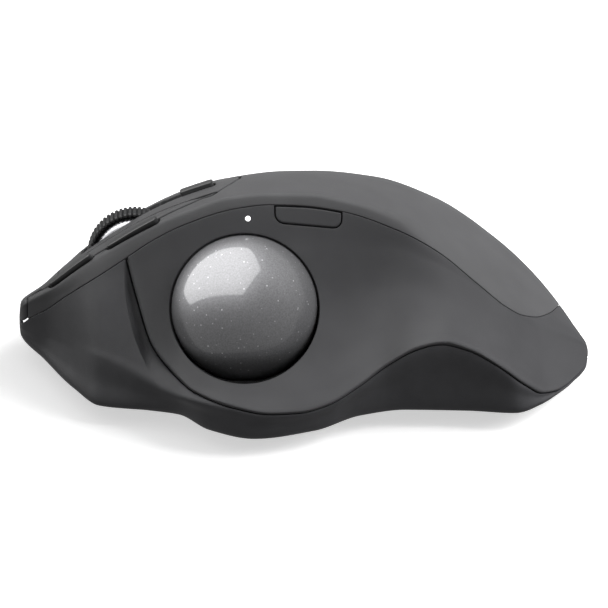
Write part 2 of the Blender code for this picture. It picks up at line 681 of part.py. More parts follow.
def wheel_point(x, y, z):
    """World point from offsets in the wheel's own leaning frame."""
    return WHEEL_CENTRE + WHEEL_TURN @ Vector((x, y, z))


def make_wheel():
    outline = []
    for k in range(NOTCHES):
        for part, radius in ((0.0, WHEEL_R), (0.5, WHEEL_R), (0.58, WHEEL_R - 0.5), (0.92, WHEEL_R - 0.5)):
            angle = 2 * math.pi * (k + part) / NOTCHES
            outline.append((radius * math.cos(angle), radius * math.sin(angle)))
    half = WHEEL_WIDTH / 2
    ring_solid = prism(outline, -half, half, lambda a, b, c: wheel_point(a, c, b))
    tyre = add("wheel_tyre", ring_solid, BLACK, WHEEL_CENTRE)
    combine(tyre, cutter("tyre_bore", rod(WHEEL_CENTRE, HUB_R + 0.3, 20, "Y", 40, WHEEL_TURN)))
    disc = rounded(rod(WHEEL_CENTRE, HUB_R, 7.4, "Y", 40, WHEEL_TURN), 0.4, 1)
    hub = add("wheel_hub", disc, STEEL, WHEEL_CENTRE)
    combine(hub, cutter("hub_bore", rod(WHEEL_CENTRE, 1.8, 20, "Y", 16, WHEEL_TURN)))
    add("wheel_axle", rod(WHEEL_CENTRE, 1.5, 17.0, "Y", 16, WHEEL_TURN), STEEL, WHEEL_CENTRE)
    make_wheel_carrier()


def make_wheel_carrier():
    """The fork tilts sideways with the wheel, and the cradle under it moves down with a press."""
    fork = add("wheel_fork", block(wheel_point(0, 0, -12.7), (6.0, 12.4, 1.6), WHEEL_TURN), DARK, TILT_AXIS)
    for k, side in enumerate((-1, 1)):
        arm = block(wheel_point(0, side * 5.4, -5.4), (6.0, 1.6, 16.0), WHEEL_TURN)
        combine(fork, cutter(f"fork_arm_{k}", arm), "UNION")
    combine(fork, cutter("fork_bore", rod(WHEEL_CENTRE, 1.8, 30, "Y", 16, WHEEL_TURN)))
    shape = block(wheel_point(0, 7.8, 0), (5.0, 2.4, 4.8), WHEEL_TURN)
    encoder = add("wheel_encoder", shape, BLACK, TILT_AXIS)
    combine(encoder, cutter("encoder_bore", rod(WHEEL_CENTRE, 1.8, 30, "Y", 16, WHEEL_TURN)))
    add("wheel_cradle", rounded(block(wheel_point(0, 0, -15.2), (12, 9, 2.2), WHEEL_TURN), 0.4), BLACK)


# ---------------------------------------------------------------- electronics and inner frame

def on_board(a, b, c):
    """World point from offsets along, across and above the sloping plane of the buttons' tops."""
    return BUTTON_FRAME @ Vector((a, b, c))


def on_board_block(a, b, c):
    (a0, a1), (b0, b1), (c0, c1) = a, b, c
    centre = on_board((a0 + a1) / 2, (b0 + b1) / 2, (c0 + c1) / 2)
    return block(centre, (a1 - a0, b1 - b0, c1 - c0), BUTTON_FRAME.to_3x3().to_4x4())


def make_button_board():
    board = add("button_board", on_board_block((-8, 25), (-10, 20), (-11.2, -10)), BOARD)
    combine(board, cutter("board_slot", on_board_block((-14, 14), (-2.3, 12.4), (-16, -5))))
    combine(board, cutter("board_corner", on_board_block((10, 30), (-14, -3.0), (-16, -5))))
    for name, a, b, size, top in SWITCHES:
        half = size / 2
        switch = on_board_block((a - half, a + half), (b - half, b + half), (-9.6, top))
        add(name, rounded(switch, 0.3, 1), BLACK)
    centre = from_lean(1.2, 33.3, surface_depth(1.2, 33.3) + 5.2)
    add("precision_switch", rounded(block(centre, (4.5, 3.0, 3.5), LEAN_TURN), 0.3, 1), BLACK)


def make_frame():
    chassis = add("chassis", rounded(block((-13.0, 4.0, 7.75), (50.0, 16.0, 1.5)), 0.4, 1), BLACK)
    tray = add("battery_tray", block((33.0, -2.0, 9.4), (34.0, 28.0, 4.8)), BLACK)
    combine(tray, cutter("tray_hollow", block((33.0, -2.0, 12.2), (31.0, 25.0, 8.0))))
    for k, (x, y) in enumerate(SCREWS):
        hole = cutter(f"frame_hole_{k}", rod((x, y, 8.0), 1.4, 8.0))
        combine(chassis if x < 12 else tray, hole)
        add_screw(f"case_screw_{k + 1}", x, y)
    add("battery", rounded(block((33.0, -2.0, 11.6), (29.0, 23.0, 6.0)), 1.2), GREY)
    add("main_board", block((-8.0, 4.5, 9.8), (40.0, 15.0, 1.2)), BOARD)


def add_screw(name, x, y):
    """A countersunk head with a shank, made as one turned solid."""
    head = add(name, rod((x, y, 4.7), 2.1, 1.3), STEEL)
    combine(head, cutter(name + "_shank", rod((x, y, 6.4), 1.0, 3.2)), "UNION")
    combine(head, cutter(name + "_drive", block((x, y, 4.0), (0.5, 2.4, 1.2))))


def make_port_and_slider():
    port = add("charging_port", rounded(block((-58.4, 9.5, 7.0), (7.0, 8.2, 2.4)), 0.3), STEEL)
    combine(port, cutter("port_mouth", block((-60.0, 9.5, 7.0), (8.0, 6.8, 1.3))))
    shape = rounded(block((-54.0, 1.0, 5.2), (3.6, 3.2, 2.0)), 0.3, 1)
    slider = add("power_slider", shape, WHITE, (-54, 1, 5.2))
    combine(slider, cutter("slider_base", block((-53.0, 1.0, 6.6), (9.0, 5.6, 1.2))), "UNION")


# ---------------------------------------------------------------- tilting base

def rounded_outline(half_x, half_y, count=40, power=2.5):
    """A rounded oblong about the base's centre, fuller than an ellipse."""
    points = []
    for k in range(count):
        c, s = math.cos(2 * math.pi * k / count), math.sin(2 * math.pi * k / count)
        x = math.copysign(abs(c) ** (2 / power), c) * half_x
        y = math.copysign(abs(s) ** (2 / power), s) * half_y
        points.append((PLATE_CENTRE[0] + x, PLATE_CENTRE[1] + y))
    return points


def make_base():
    upright = lambda a, b, c: Vector((a, b, c))
    hx, hy = PLATE_HALF
    plate = add("tilt_plate", prism(rounded_outline(hx, hy), *PLATE_Z, upright), STEEL)
    pad = add("plate_pad", prism(rounded_outline(hx - 2, hy - 2), *PAD_Z, upright), BLACK)
    for k, x in enumerate(HINGE_X):
        lug = block((x, RIDGE_Y, 4.6), (6.0, 4.8, 5.0))
        combine(plate, cutter(f"lug_{k}", lug), "UNION")
        pin_hole = cutter(f"lug_bore_{k}", rod((x, RIDGE_Y, HINGE_Z), PIN_R + 0.3, 16, "X", 16))
        combine(plate, pin_hole)
        add(f"hinge_pin_{k + 1}", rod((x, RIDGE_Y, HINGE_Z), PIN_R, 10.8, "X", 16), STEEL)
        make_hinge_bracket(k, x)
    for obj, radius in ((plate, 4.5), (pad, 5.0)):
        combine(obj, cutter(f"{obj.name}_hole", rod((BALL_CENTRE.x, BALL_CENTRE.y, 2), radius, 6, sides=24)))
    add("magnet_left", rod((6, -15, 6.7), 4.0, 1.6, sides=24), STEEL)
    tilt = math.radians(TILT_DEG)
    lift = Vector((0, -math.sin(tilt), math.cos(tilt))) * 2.95
    add("magnet_right", rod(Vector((4, 32, facet(32))) + lift, 4.0, 1.6, sides=24,
                            turn=Matrix.Rotation(tilt, 4, "X")), STEEL)


def make_hinge_bracket(k, x):
    """A block in the shell's slot that holds the pin on both sides of the base's lug."""
    bracket = add(f"hinge_bracket_{k + 1}", block((x, RIDGE_Y, 7.05), (11.4, 6.0, 5.1)), BLACK)
    combine(bracket, cutter(f"flange_{k}", block((x, RIDGE_Y - 0.8, 8.9), (16.0, 9.0, 1.4))), "UNION")
    combine(bracket, cutter(f"lug_room_{k}", block((x, RIDGE_Y, 5.2), (6.9, 9.0, 6.4))))
    combine(bracket, cutter(f"bracket_bore_{k}", rod((x, RIDGE_Y, HINGE_Z), PIN_R + 0.3, 20, "X", 16)))


def main():
    clear_scene()
    make_covers()
    make_small_buttons()
    make_ball_group()
    make_wheel()
    make_button_board()
    make_frame()
    make_port_and_slider()
    make_base()


main()
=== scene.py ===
"""Looks of the thumb-operated trackball mouse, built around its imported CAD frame.

The covers are cut from one fine copy of the body's surface, with rounded edges along every seam. Shapes are
worked out in millimetres, in the frame's own axes, and turned into metres when a piece is made.
"""
import json
import math

import bmesh
import bpy
from mathutils import Matrix, Vector
from mathutils.bvhtree import BVHTree

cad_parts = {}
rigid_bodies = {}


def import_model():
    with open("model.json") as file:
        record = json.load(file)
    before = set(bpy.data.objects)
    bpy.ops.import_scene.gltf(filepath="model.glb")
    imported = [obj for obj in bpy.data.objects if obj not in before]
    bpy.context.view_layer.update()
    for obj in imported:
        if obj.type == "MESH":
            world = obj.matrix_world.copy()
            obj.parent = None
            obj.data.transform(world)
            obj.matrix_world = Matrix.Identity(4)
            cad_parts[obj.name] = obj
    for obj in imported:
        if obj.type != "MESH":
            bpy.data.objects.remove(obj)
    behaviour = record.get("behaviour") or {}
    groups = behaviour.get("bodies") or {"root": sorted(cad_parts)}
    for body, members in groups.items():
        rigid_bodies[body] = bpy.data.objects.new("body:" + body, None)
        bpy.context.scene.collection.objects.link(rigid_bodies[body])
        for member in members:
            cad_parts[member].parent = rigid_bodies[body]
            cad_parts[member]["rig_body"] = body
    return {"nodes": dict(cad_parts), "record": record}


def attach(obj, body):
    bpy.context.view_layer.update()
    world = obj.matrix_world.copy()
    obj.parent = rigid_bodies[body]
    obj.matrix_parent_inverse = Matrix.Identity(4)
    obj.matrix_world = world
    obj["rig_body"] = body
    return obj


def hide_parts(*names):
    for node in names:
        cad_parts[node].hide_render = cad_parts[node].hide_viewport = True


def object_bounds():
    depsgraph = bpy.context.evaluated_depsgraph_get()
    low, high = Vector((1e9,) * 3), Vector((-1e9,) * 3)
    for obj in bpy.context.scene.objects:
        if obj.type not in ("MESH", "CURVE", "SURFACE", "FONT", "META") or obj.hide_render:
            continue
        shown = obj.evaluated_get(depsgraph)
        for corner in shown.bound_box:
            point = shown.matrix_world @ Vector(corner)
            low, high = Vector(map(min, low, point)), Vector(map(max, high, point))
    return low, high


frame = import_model()
CAD_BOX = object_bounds()

MM = 0.001
NODES = frame["nodes"]

# ---------------------------------------------------------------- sizes shared with the CAD model (mm)

HALF_LENGTH = 66.0
END_DOME = 0.25             # height of the shallow domes over the nose and the heel
FLOOR_Z = 3.8               # underside of the body above the table
RIDGE_Y = 18.25             # the underside bends up to the right of this line
HINGE_X = (-26.0, 34.0)     # the two hinges of the steel base, on that line
SCREWS = ((-30.0, -1.5), (8.0, 9.5), (22.0, -13.0), (46.0, 8.0))
SLIDER = (-52.0, 1.0)
PORT = (-65.0, 9.5, 7.0)
EJECT_R = 1.9               # the hole in the underside through which the ball is pushed out
TILT_DEG = 20.0             # slope of the underside to the right of the ridge
SHELL = 1.8                 # wall thickness
SEAM = 0.36
HALF_SEAM = SEAM / 2
BUTTON_SEAM = 0.3
LEAN = math.radians(27.0)   # the thumb side's seams are laid out in a plane leaning back this much
COS_L, SIN_L = math.cos(LEAN), math.sin(LEAN)
UP_PLANE = Vector((0.0, SIN_L, COS_L))      # up along that plane
INTO_BODY = Vector((0.0, COS_L, -SIN_L))    # and square to it, into the body
BALL_X, BALL_W, BALL_D = -13.7, 12.4, -32.0     # centre: along the body, height in the plane, depth behind it
BALL_R, OPENING_R = 17.0, 17.4
WHEEL_R, WHEEL_WIDTH = 11.1, 8.0
WHEEL_CENTRE = Vector((-39.3, 3.0, 26.0))
SLOT_HALF, SLOT_ROOM = 12.5, 0.9            # the wheel's slot: half its length, and the room beside the wheel
WHEEL_TURN = Matrix.Rotation(math.radians(-14.0), 4, "X")
LED = (-12.9, 33.2)         # the status light: along the body and height in the plane
LIGHT_HOLE_R = 0.75
SIDE_BUTTONS = {"forward_button": (-59.0, -49.1), "back_button": (-45.4, -33.8)}
PAIRING = (-28.5, -21.0, 2.2, 7.4)          # limits in x and y of the small button behind the wheel
D_X, D_W, D_SLANT = 1.1, 31.7, 0.089        # middle and height of the D-shaped button's lower side
D_HALF, D_CORNER = 7.62, 2.0
NOTCHES = 62                # round the wheel's tyre
SPINE = (-4.0, 10.8)        # the centre strip's two sides
RIGHT_SIDE, RIGHT_BIAS = 15.0, 0.3          # the cover's seam turns down beyond this, by this share
PANEL_FRONT = -41.4         # front edge of the thumb panel

# ---------------------------------------------------------------- finer sizes, for the looks only (mm)

EDGE_R = 0.5                # radius of the rounded edge along each seam
EDGE_STEPS = (1.0, 0.65, 0.3, 0.08, 0.0)    # where that edge is scored, as shares of its radius
STATIONS = 190              # sections along the surface
# Points on each stretch of a section, from the left foot clockwise.
RING = (10, 10, 6, 11, 15, 17, 16, 6, 7, 8, 16, 22, 5, 14, 28, 3)
COARSE_STATIONS = 32
COARSE_RING = (1, 1, 2, 3, 3, 3, 3, 2, 3, 3, 3, 3, 2, 2, 3, 1)
FINE_RING = tuple(count * 3 for count in RING)
FINE_STATIONS, FIN_STATIONS = 560, 620      # for the small buttons, which are cut from a finer surface
STRAIGHT = (13, 14)         # the stretches of a section that don't curve
TABLE_STEPS = 3000
BUTTON_GAP = 0.43           # room for the two main buttons to move down
CAP_GAP = 0.3               # round the D-shaped button
PRESS_ROOM = 0.2            # and more of it at its upper side
TRAVEL_GAP = 0.5            # round the buttons that are pressed at a slant to the surface
STILL_GAP = 0.05            # half the gap between two covers that don't move
STILL_R = 0.18              # and the radius of their edges
ROLL_R = 0.9                # the thumb panel's lower edge is rolled over
BEAD, BEAD_WIDTH = 0.3, 2.2                 # how far the panel swells above that edge, and over what width
SET_BACK, SET_BACK_REACH = 0.55, 2.5        # how far the lower shell lies back below it
FADE = 6.0                  # and both fade out over this length
BEAD_END, SET_BACK_END = 63.0, 64.0
HOLLOW_SPAN = (-45.0, -20.0)                # the front wall's hollow lies between these places
THUMB_SIDE = -10.0          # to the left of this line is the thumb side
HINGE_SLOT = (12.2, 7.4, 8.0)
SLIDER_SLOT = (8.0, 4.0, 8.0)
PORT_SLOT = (14.0, 9.0, 3.2)
SCREW_HOLE_R = 2.5


# ---------------------------------------------------------------- curves along the body

def along(x):
    """Position along the body from 0 at the nose to 1 at the heel, slowing down at both round ends."""
    return math.acos(max(-1.0, min(1.0, -x / HALF_LENGTH))) / math.pi


def smooth(*points):
    """A smooth curve through (x, value) points that never overshoots them, kept as an even table."""
    us = [along(x) for x, value in points]
    vs = [value for x, value in points]
    steps = [us[i + 1] - us[i] for i in range(len(us) - 1)]
    slopes = [(vs[i + 1] - vs[i]) / steps[i] for i in range(len(steps))]
    tangents = [slopes[0]]
    for before, after in zip(slopes, slopes[1:]):
        tangents.append(0.0 if before * after <= 0.0 else 2.0 * before * after / (before + after))
    tangents.append(slopes[-1])

    def exact(u):
        i = 0
        while i < len(steps) - 1 and u > us[i + 1]:
            i += 1
        t = max(0.0, min(1.0, (u - us[i]) / steps[i]))
        a, b = 1 - t, t
        return (a * a * (1 + 2 * t) * vs[i] + t * a * a * steps[i] * tangents[i]
                + b * b * (3 - 2 * t) * vs[i + 1] - b * b * a * steps[i] * tangents[i + 1])

    table = [exact(k / TABLE_STEPS) for k in range(TABLE_STEPS + 1)] + [vs[-1]]

    def value(x):
        u = along(x) * TABLE_STEPS
        k = int(u)
        return table[k] + (table[k + 1] - table[k]) * (u - k)
    return value


# Each W curve is a height in the leaning plane, each Y curve a distance to the right of the middle.
W_TOP = smooth((-66, 13.4), (-61.8, 17.1), (-55.3, 22.7), (-52.1, 25.5), (-44, 31.3), (-35.7, 36.2),
               (-27, 40), (-18.3, 42.5), (-4.3, 44.3), (2.7, 44.4), (16.6, 43), (30.6, 38.1), (44.6, 28.8),
               (58.1, 15.3), (60.9, 11.6), (63.4, 7.9), (65.1, 5.0), (66, 3.1))
Y_TOP = smooth((-66, 3), (-57, 7), (-50, 9.5), (-36, 12), (0, 14), (30, 13.5), (45, 12), (59, 8), (66, -3))
W_CREASE = smooth((-66, 12.4), (-59.5, 17.1), (-49, 24), (-33.2, 32.6), (-25.5, 35.7), (-17.1, 38.4),
                  (-7.8, 39.2), (1.3, 39.1), (8.7, 37.8), (22, 34), (29, 30), (45, 19), (55, 11.5), (66, 3.3))
Y_CREASE = smooth((-66, -1), (-59.5, -7), (-54, -10), (-49, -11.8), (-41, -12.3), (-25, -11), (-8, -9.3),
                  (9, -9), (29, -10), (45, -9), (55, -7), (66, -5))
CREASE_ROUND = smooth((-66, 0.9), (10, 1.1), (28, 2.5), (45, 4.5), (60, 2.5), (66, 0.5))
W_SHELF = smooth((-66, 8.6), (-60, 5.5), (-55, 3.5), (-47.5, 1), (-41, -2), (-31, -7.3), (-25.5, -9),
                 (-16.4, -11), (-8, -12.4), (-1, -12.1), (6, -10.2), (13, -6), (20, -0.8), (27, 2.9), (33, 4),
                 (40, 1.9), (47, -2.3), (52, -5.8), (56, -7.5), (60, -5.9), (66, 1.5))
Y_SHELF = smooth((-66, 0), (-60, -7.5), (-55, -15.5), (-47.5, -27), (-41, -30.5), (-31, -38), (-25.5, -43.5),
                 (-16.4, -48.5), (-9, -49.8), (-1, -48.7), (6, -45.5), (13, -41), (20, -37), (33, -35),
                 (47, -35.8), (52, -33.8), (56, -30), (60, -24.3), (66, -8))
SCOOP = smooth((-66, 0), (-50, -0.6), (-42, 0.0), (-34, 0.8), (-26, 3.0), (-14, 4.2), (5, 4), (33, 2.4),
               (55, 0.3), (66, 0))
W_FLOOR = smooth((-66, 7.4), (-61.4, 2.2), (-53.2, -5.7), (-47.5, -9.6), (-35.7, -10.8), (-28.8, -11.8),
                 (-21.8, -15.3), (-11.3, -17.35), (2.7, -15.5), (13.2, -12), (23.6, -10.6), (37.6, -10.8),
                 (49, -11.4), (55.1, -9.7), (60.7, -6.4), (63.5, -3.8), (66, 0))
Z_SIDE = smooth((-66, 7), (-60, 5.6), (-47, 5.2), (50, 5.2), (60, 4.9), (66, 4.7))
FLOOR = smooth((-66, 5.8), (-58, FLOOR_Z), (66, FLOOR_Z))
Y_RIGHT = smooth((-66, 6), (-60, 19), (-50, 27), (-35, 36), (-20, 43), (-5, 48), (8, 49.9), (20, 48.4),
                 (33, 42.5), (43, 35), (50, 27.5), (56, 19), (60, 12.6), (63, 7.2), (64.8, 2.6), (66, -1.6))

# Seams
W_COVER = smooth((-66, 7.9), (-60.5, 11.7), (-55, 15.3), (-48.2, 19.5), (-42, 23.5), (-35.4, 27.9),
                 (-27.6, 31.8), (-15.7, 35.5), (-7.8, 36.4), (-0.8, 36.2), (8.7, 34.9), (22, 30.4),
                 (31.2, 25.5), (40.4, 18.1), (47.2, 12.7), (51, 10.8), (54.1, 10.4), (57, 11.2), (60, 13.5),
                 (66, 24))
W_PANEL = smooth((PANEL_FRONT, 23.9), (-39, 15), (-35.5, 4.1), (-31.3, -1.7), (-25.5, -7.1), (-16.4, -10.8),
                 (-7.6, -12.4), (-0.8, -12.1), (6.1, -10.2), (12.9, -6.1), (19.7, -1), (26.7, 2.8), (32.1, 4),
                 (38.1, 2.6), (44.9, -1), (51.8, -5.7), (55.5, -7.4), (58.7, -6.9), (63.7, -3.4), (66, 1))
WALL = smooth((-66, 0.6), (-60, 1.4), (-52, SHELL), (50, SHELL), (60, 0.9), (66, 0.25))
SKIRT = smooth((-66, 5.0), (-50, 5.0), (-35, 4.0), (0, 3.0), (40, 2.4), (58, 1.7), (66, 0.5))
SPLIT = ((-14, -24.5), (-8, -22.5), (-5, -20), (0, -17), (6, -14.8), (14, -14.5), (25, -18), (35, -24),
         (50, -36))
W_SPLIT = smooth((-66, 13), (-59.5, 17.6), (-49, 24.6), (-40, 29.8), (-33.2, 33.6), (-27, 36.5),
                 (-22.7, 38.3), (-10, 41), (66, 41))
LIP_X = -64.4               # the left button's lip wraps round the nose ahead of this
MIDDLE = 3.4                # the two main buttons meet here ahead of the centre strip
STRIP_FRONT = -57.0         # and the strip starts here
TOP_GAP = 0.35              # how much wider the gap behind the buttons is across the top


# ---------------------------------------------------------------- the body's surface

def from_plane(y, w):
    """The (y, z) of a point at y whose height in the leaning plane is w."""
    return Vector((y, (w - y * SIN_L) / COS_L))


def from_lean(x, w, d):
    """World point at x, height w in the leaning plane and depth d behind it."""
    return Vector((x, d * COS_L + w * SIN_L, w * COS_L - d * SIN_L))


def facet(y, floor=FLOOR_Z):
    """Height of the underside: level, then rising to the right of the ridge."""
    return floor + max(0.0, y - RIDGE_Y) * math.tan(math.radians(TILT_DEG))


def section(x):
    """Corner points (y, z) of the body's section at x, clockwise from the bottom left."""
    floor = FLOOR(x)
    side = Vector(((W_FLOOR(x) - Z_SIDE(x) * COS_L) / SIN_L, Z_SIDE(x)))
    shelf = from_plane(Y_SHELF(x), W_SHELF(x))
    crease = from_plane(Y_CREASE(x), W_CREASE(x))
    top = from_plane(Y_TOP(x), W_TOP(x))
    inward = Vector((COS_L, -SIN_L)) * SCOOP(x)
    scoop = [shelf.lerp(crease, part) + inward * depth
             for part, depth in ((0.09, 0.2), (0.27, 0.78), (0.5, 1.0), (0.75, 0.6))]
    radius = CREASE_ROUND(x)
    band = crease + (scoop[-1] - crease).normalized() * radius
    brow = crease + (top - crease).normalized() * radius
    rise = Vector((0.0, 0.05 * (top - brow).length))
    right = Vector((Y_RIGHT(x), 0.0))
    right.y = max(facet(right.x, floor) + 3.4, floor + 2.0)
    right.y = min(right.y, 0.5 * (top.y + floor + 1.0)) if x < -60 or x > 60 else right.y
    shoulder = Vector((top.x + 0.55 * (right.x - top.x), right.y + 0.66 * (top.y - right.y)))
    for point in (right, shoulder):
        hidden = (W_TOP(x) - 0.03 * (point.x - top.x) - point.x * SIN_L) / COS_L
        point.y = max(min(point.y, hidden), facet(point.x, floor) + 1.2)
    hem_y = right.x - min(2.6, 0.25 * (right.x - top.x) + 0.4)
    hem = Vector((hem_y, facet(hem_y, floor)))
    ridge_y = min(RIDGE_Y, hem_y - 1.0)
    foot_y = side.x + min(1.9, 0.3 * (ridge_y - side.x))
    lower = side.lerp(shelf, 0.5) + Vector((0.25, 0.0))
    return [side, lower, shelf, *scoop, band, brow, brow.lerp(top, 0.5) + rise, top, shoulder, right, hem,
            Vector((ridge_y, facet(ridge_y, floor))), Vector((foot_y, floor))]


def between(points, i, t):
    """A point on stretch i of a closed section: straight, or a curve through its neighbours."""
    n = len(points)
    p0, p1, p2, p3 = (points[(i + k) % n] for k in (-1, 0, 1, 2))
    if i in STRAIGHT:
        return p1.lerp(p2, t)
    length = (p2 - p1).length
    out = (p2 - p0) * (length / max(1e-6, (p1 - p0).length + length))
    into = (p3 - p1) * (length / max(1e-6, (p3 - p2).length + length))
    a, b = 1 - t, t
    return p1 * (a * a * (1 + 2 * t)) + out * (t * a * a) + p2 * (b * b * (3 - 2 * t)) - into * (b * b * a)


def ring(x, counts, first, last):
    """Points round the body at x, over the stretches from first up to last."""
    points = section(x)
    floor = FLOOR(x)
    loop = []
    for i in range(first, last):
        for k in range(counts[i]):
            p = between(points, i, k / counts[i])
            loop.append(Vector((x, p.x, max(p.y, facet(p.x, floor)))))
    return loop


def station(u):
    return HALF_LENGTH * (-0.75 * math.cos(math.pi * u) + 0.25 * (2 * u - 1))


def surface(x0=-HALF_LENGTH, x1=HALF_LENGTH, first=0, last=16, stations=STATIONS, counts=RING):
    """The body's surface from x0 to x1 over some stretches of its sections, closed at the ends if whole."""
    whole = (first, last) == (0, len(counts))
    xs = [station(k / stations) for k in range(stations + 1)]
    xs = [x for x in xs if x0 - 1e-6 <= x <= x1 + 1e-6]
    bm = bmesh.new()
    rows = [[bm.verts.new(p) for p in ring(x, counts, first, last)] for x in xs]
    count = len(rows[0])
    steps = range(count if whole else count - 1)
    for a, b in zip(rows, rows[1:]):
        for k in steps:
            bm.faces.new((a[k], b[k], b[(k + 1) % count], a[(k + 1) % count]))
    if whole:
        if xs[0] < 1e-3 - HALF_LENGTH:
            close_end(bm, rows[0], -1)
        if xs[-1] > HALF_LENGTH - 1e-3:
            close_end(bm, rows[-1], 1)
    bm.normal_update()
    return bm


def close_end(bm, rim, sign):
    """A shallow dome over the nose or the heel."""
    count = len(rim)
    middle = sum((v.co for v in rim), Vector()) / count
    outer = rim
    for share in (0.85, 0.6, 0.3):
        offset = Vector((sign * END_DOME * (1 - share * share), 0, 0))
        inner = [bm.verts.new(middle + (v.co - middle) * share + offset) for v in rim]
        for k in range(count):
            corners = (outer[k], outer[(k + 1) % count], inner[(k + 1) % count], inner[k])
            bm.faces.new(corners if sign < 0 else corners[::-1])
        outer = inner
    tip = bm.verts.new(middle + Vector((sign * END_DOME, 0, 0)))
    for k in range(count):
        corners = (outer[k], outer[(k + 1) % count], tip)
        bm.faces.new(corners if sign < 0 else corners[::-1])


class WallField:
    """The direction through the body's wall at any point: its coarse surface's normals, widely averaged."""

    def __init__(self):
        bm = surface(stations=COARSE_STATIONS, counts=COARSE_RING)
        bmesh.ops.recalc_face_normals(bm, faces=bm.faces)
        bmesh.ops.triangulate(bm, faces=bm.faces)
        bm.normal_update()
        bm.verts.ensure_lookup_table()
        normals = [v.normal.copy() for v in bm.verts]
        for _ in range(3):
            around = [sum((normals[e.other_vert(v).index] for e in v.link_edges), Vector()) for v in bm.verts]
            normals = [(own + near).normalized() for own, near in zip(normals, around)]
        self.normals = normals
        self.corners = [tuple(v.index for v in f.verts) for f in bm.faces]
        self.points = [v.co.copy() for v in bm.verts]
        self.tree = BVHTree.FromPolygons(self.points, self.corners)
        bm.free()

    def __call__(self, p):
        place, _, index, _ = self.tree.find_nearest(p)
        i, j, k = self.corners[index]
        a, b, c = self.points[i], self.points[j], self.points[k]
        whole = (b - a).cross(c - a).length
        share_a = (b - place).cross(c - place).length / whole
        share_b = (c - place).cross(a - place).length / whole
        share_c = max(0.0, 1 - share_a - share_b)
        mixed = self.normals[i] * share_a + self.normals[j] * share_b + self.normals[k] * share_c
        return mixed.normalized()


wall_direction = WallField()


# ---------------------------------------------------------------- regions of the surface

def height_in_plane(p):
    return p.z * COS_L + p.y * SIN_L


def above(curve, p):
    """Distance above a seam curve, measured across the seam."""
    slope = (curve(p.x + 0.2) - curve(p.x - 0.2)) / 0.4
    return (height_in_plane(p) - curve(p.x)) / math.hypot(1.0, slope)


def over_skirt(p):
    return p.z - facet(p.y, FLOOR(p.x)) - SKIRT(p.x)


def cover_line(p):
    """Distance above the cover's seam; on the right-hand side the cover runs down to the skirt."""
    return above(W_COVER, p) + RIGHT_BIAS * max(0.0, p.y - RIGHT_SIDE)


def panel_line(p):
    """Distance above the lower seam, which runs up the front wall and joins the cover's seam."""
    front = cover_line(p)
    if p.x <= PANEL_FRONT:
        return front
    return max(front, above(W_PANEL, p))


def upper(p):
    return min(panel_line(p), over_skirt(p))


def under_button(p):
    """Distance into the band below the left button's lower edge, behind the lip at the nose."""
    return min(-above(W_SPLIT, p) - max(0.0, p.y + 2.0), p.x - LIP_X)


def strip_area(p):
    """Distance inside the centre strip's two sides and front end."""
    return min(p.y - SPINE[0], SPINE[1] - p.y, p.x - STRIP_FRONT)


def split_line(p, widened=0.0):
    """Distance beyond the line where the two buttons and the strip meet the palm cover."""
    i = 0
    while i < len(SPLIT) - 2 and p.y > SPLIT[i + 1][0]:
        i += 1
    (y0, x0), (y1, x1) = SPLIT[i], SPLIT[i + 1]
    line = x0 + (x1 - x0) * (p.y - y0) / (y1 - y0)
    return max((p.x - line) / math.hypot(1.0, (x1 - x0) / (y1 - y0)) + widened, under_button(p))


def button_end(p):
    """The same line from the buttons' side, further forward where it crosses the top."""
    return split_line(p, TOP_GAP)


def beyond(field, gap=HALF_SEAM):
    return lambda p: field(p) - gap


def short_of(field, gap=HALF_SEAM):
    return lambda p: -field(p) - gap


def heel_side(x):
    return lambda p: p.x - x


def right_of(y):
    return lambda p: p.y - y


def left_of(y):
    return lambda p: y - p.y


def round_box(a, b, half_a, half_b, radius):
    """Distance outside a rounded oblong about (0, 0)."""
    qa, qb = abs(a) - half_a + radius, abs(b) - half_b + radius
    return min(max(qa, qb), 0.0) + math.hypot(max(qa, 0.0), max(qb, 0.0)) - radius


def fin_outline(x0, x1):
    """Distance outside one side button's outline, a strip that follows the crease."""
    middle, half = 0.5 * (x0 + x1), 0.5 * (x1 - x0)

    def distance(p):
        return round_box(p.x - middle, p.y - Y_CREASE(p.x) - 1.8, half, 1.2, 0.8)
    return distance


def pairing_outline(p):
    """Distance outside the small button behind the wheel."""
    x0, x1, y0, y1 = PAIRING
    return round_box(p.x - 0.5 * (x0 + x1), p.y - 0.5 * (y0 + y1), 0.5 * (x1 - x0), 0.5 * (y1 - y0), 0.7)


def wheel_slot(p):
    """Distance outside the wheel's slot in the centre strip."""
    local = WHEEL_TURN.inverted() @ (p - WHEEL_CENTRE)
    return round_box(local.x, local.y, SLOT_HALF, 0.5 * WHEEL_WIDTH + SLOT_ROOM, 1.0)


def d_outline(p):
    """Distance outside the D-shaped button: a slanting lower side and two round corners under the seam."""
    along_side = p.x - D_X
    lower = height_in_plane(p) - D_W + D_SLANT * along_side
    inside = D_HALF - abs(along_side)
    if lower < D_CORNER and inside < D_CORNER:
        return math.hypot(D_CORNER - lower, D_CORNER - inside) - D_CORNER
    return -min(lower, inside)


def ball_opening(p):
    return math.hypot(p.x - BALL_X, height_in_plane(p) - BALL_W) - OPENING_R


def light_hole(p):
    return math.hypot(p.x - LED[0], height_in_plane(p) - LED[1]) - LIGHT_HOLE_R


# ---------------------------------------------------------------- cutting and thickening

def edge_radius(x, radius=EDGE_R):
    return min(radius, 0.5 * WALL(x))


def joined(a, b):
    return any(edge.other_vert(a) == b for edge in a.link_edges)


def split_face(bm, face, corners):
    """Cut a face between its two corners that lie on a line, or between all of them if there are more."""
    if len(corners) > 2:
        bmesh.ops.connect_verts(bm, verts=corners)
    elif not joined(*corners):
        bmesh.utils.face_split(face, *corners)


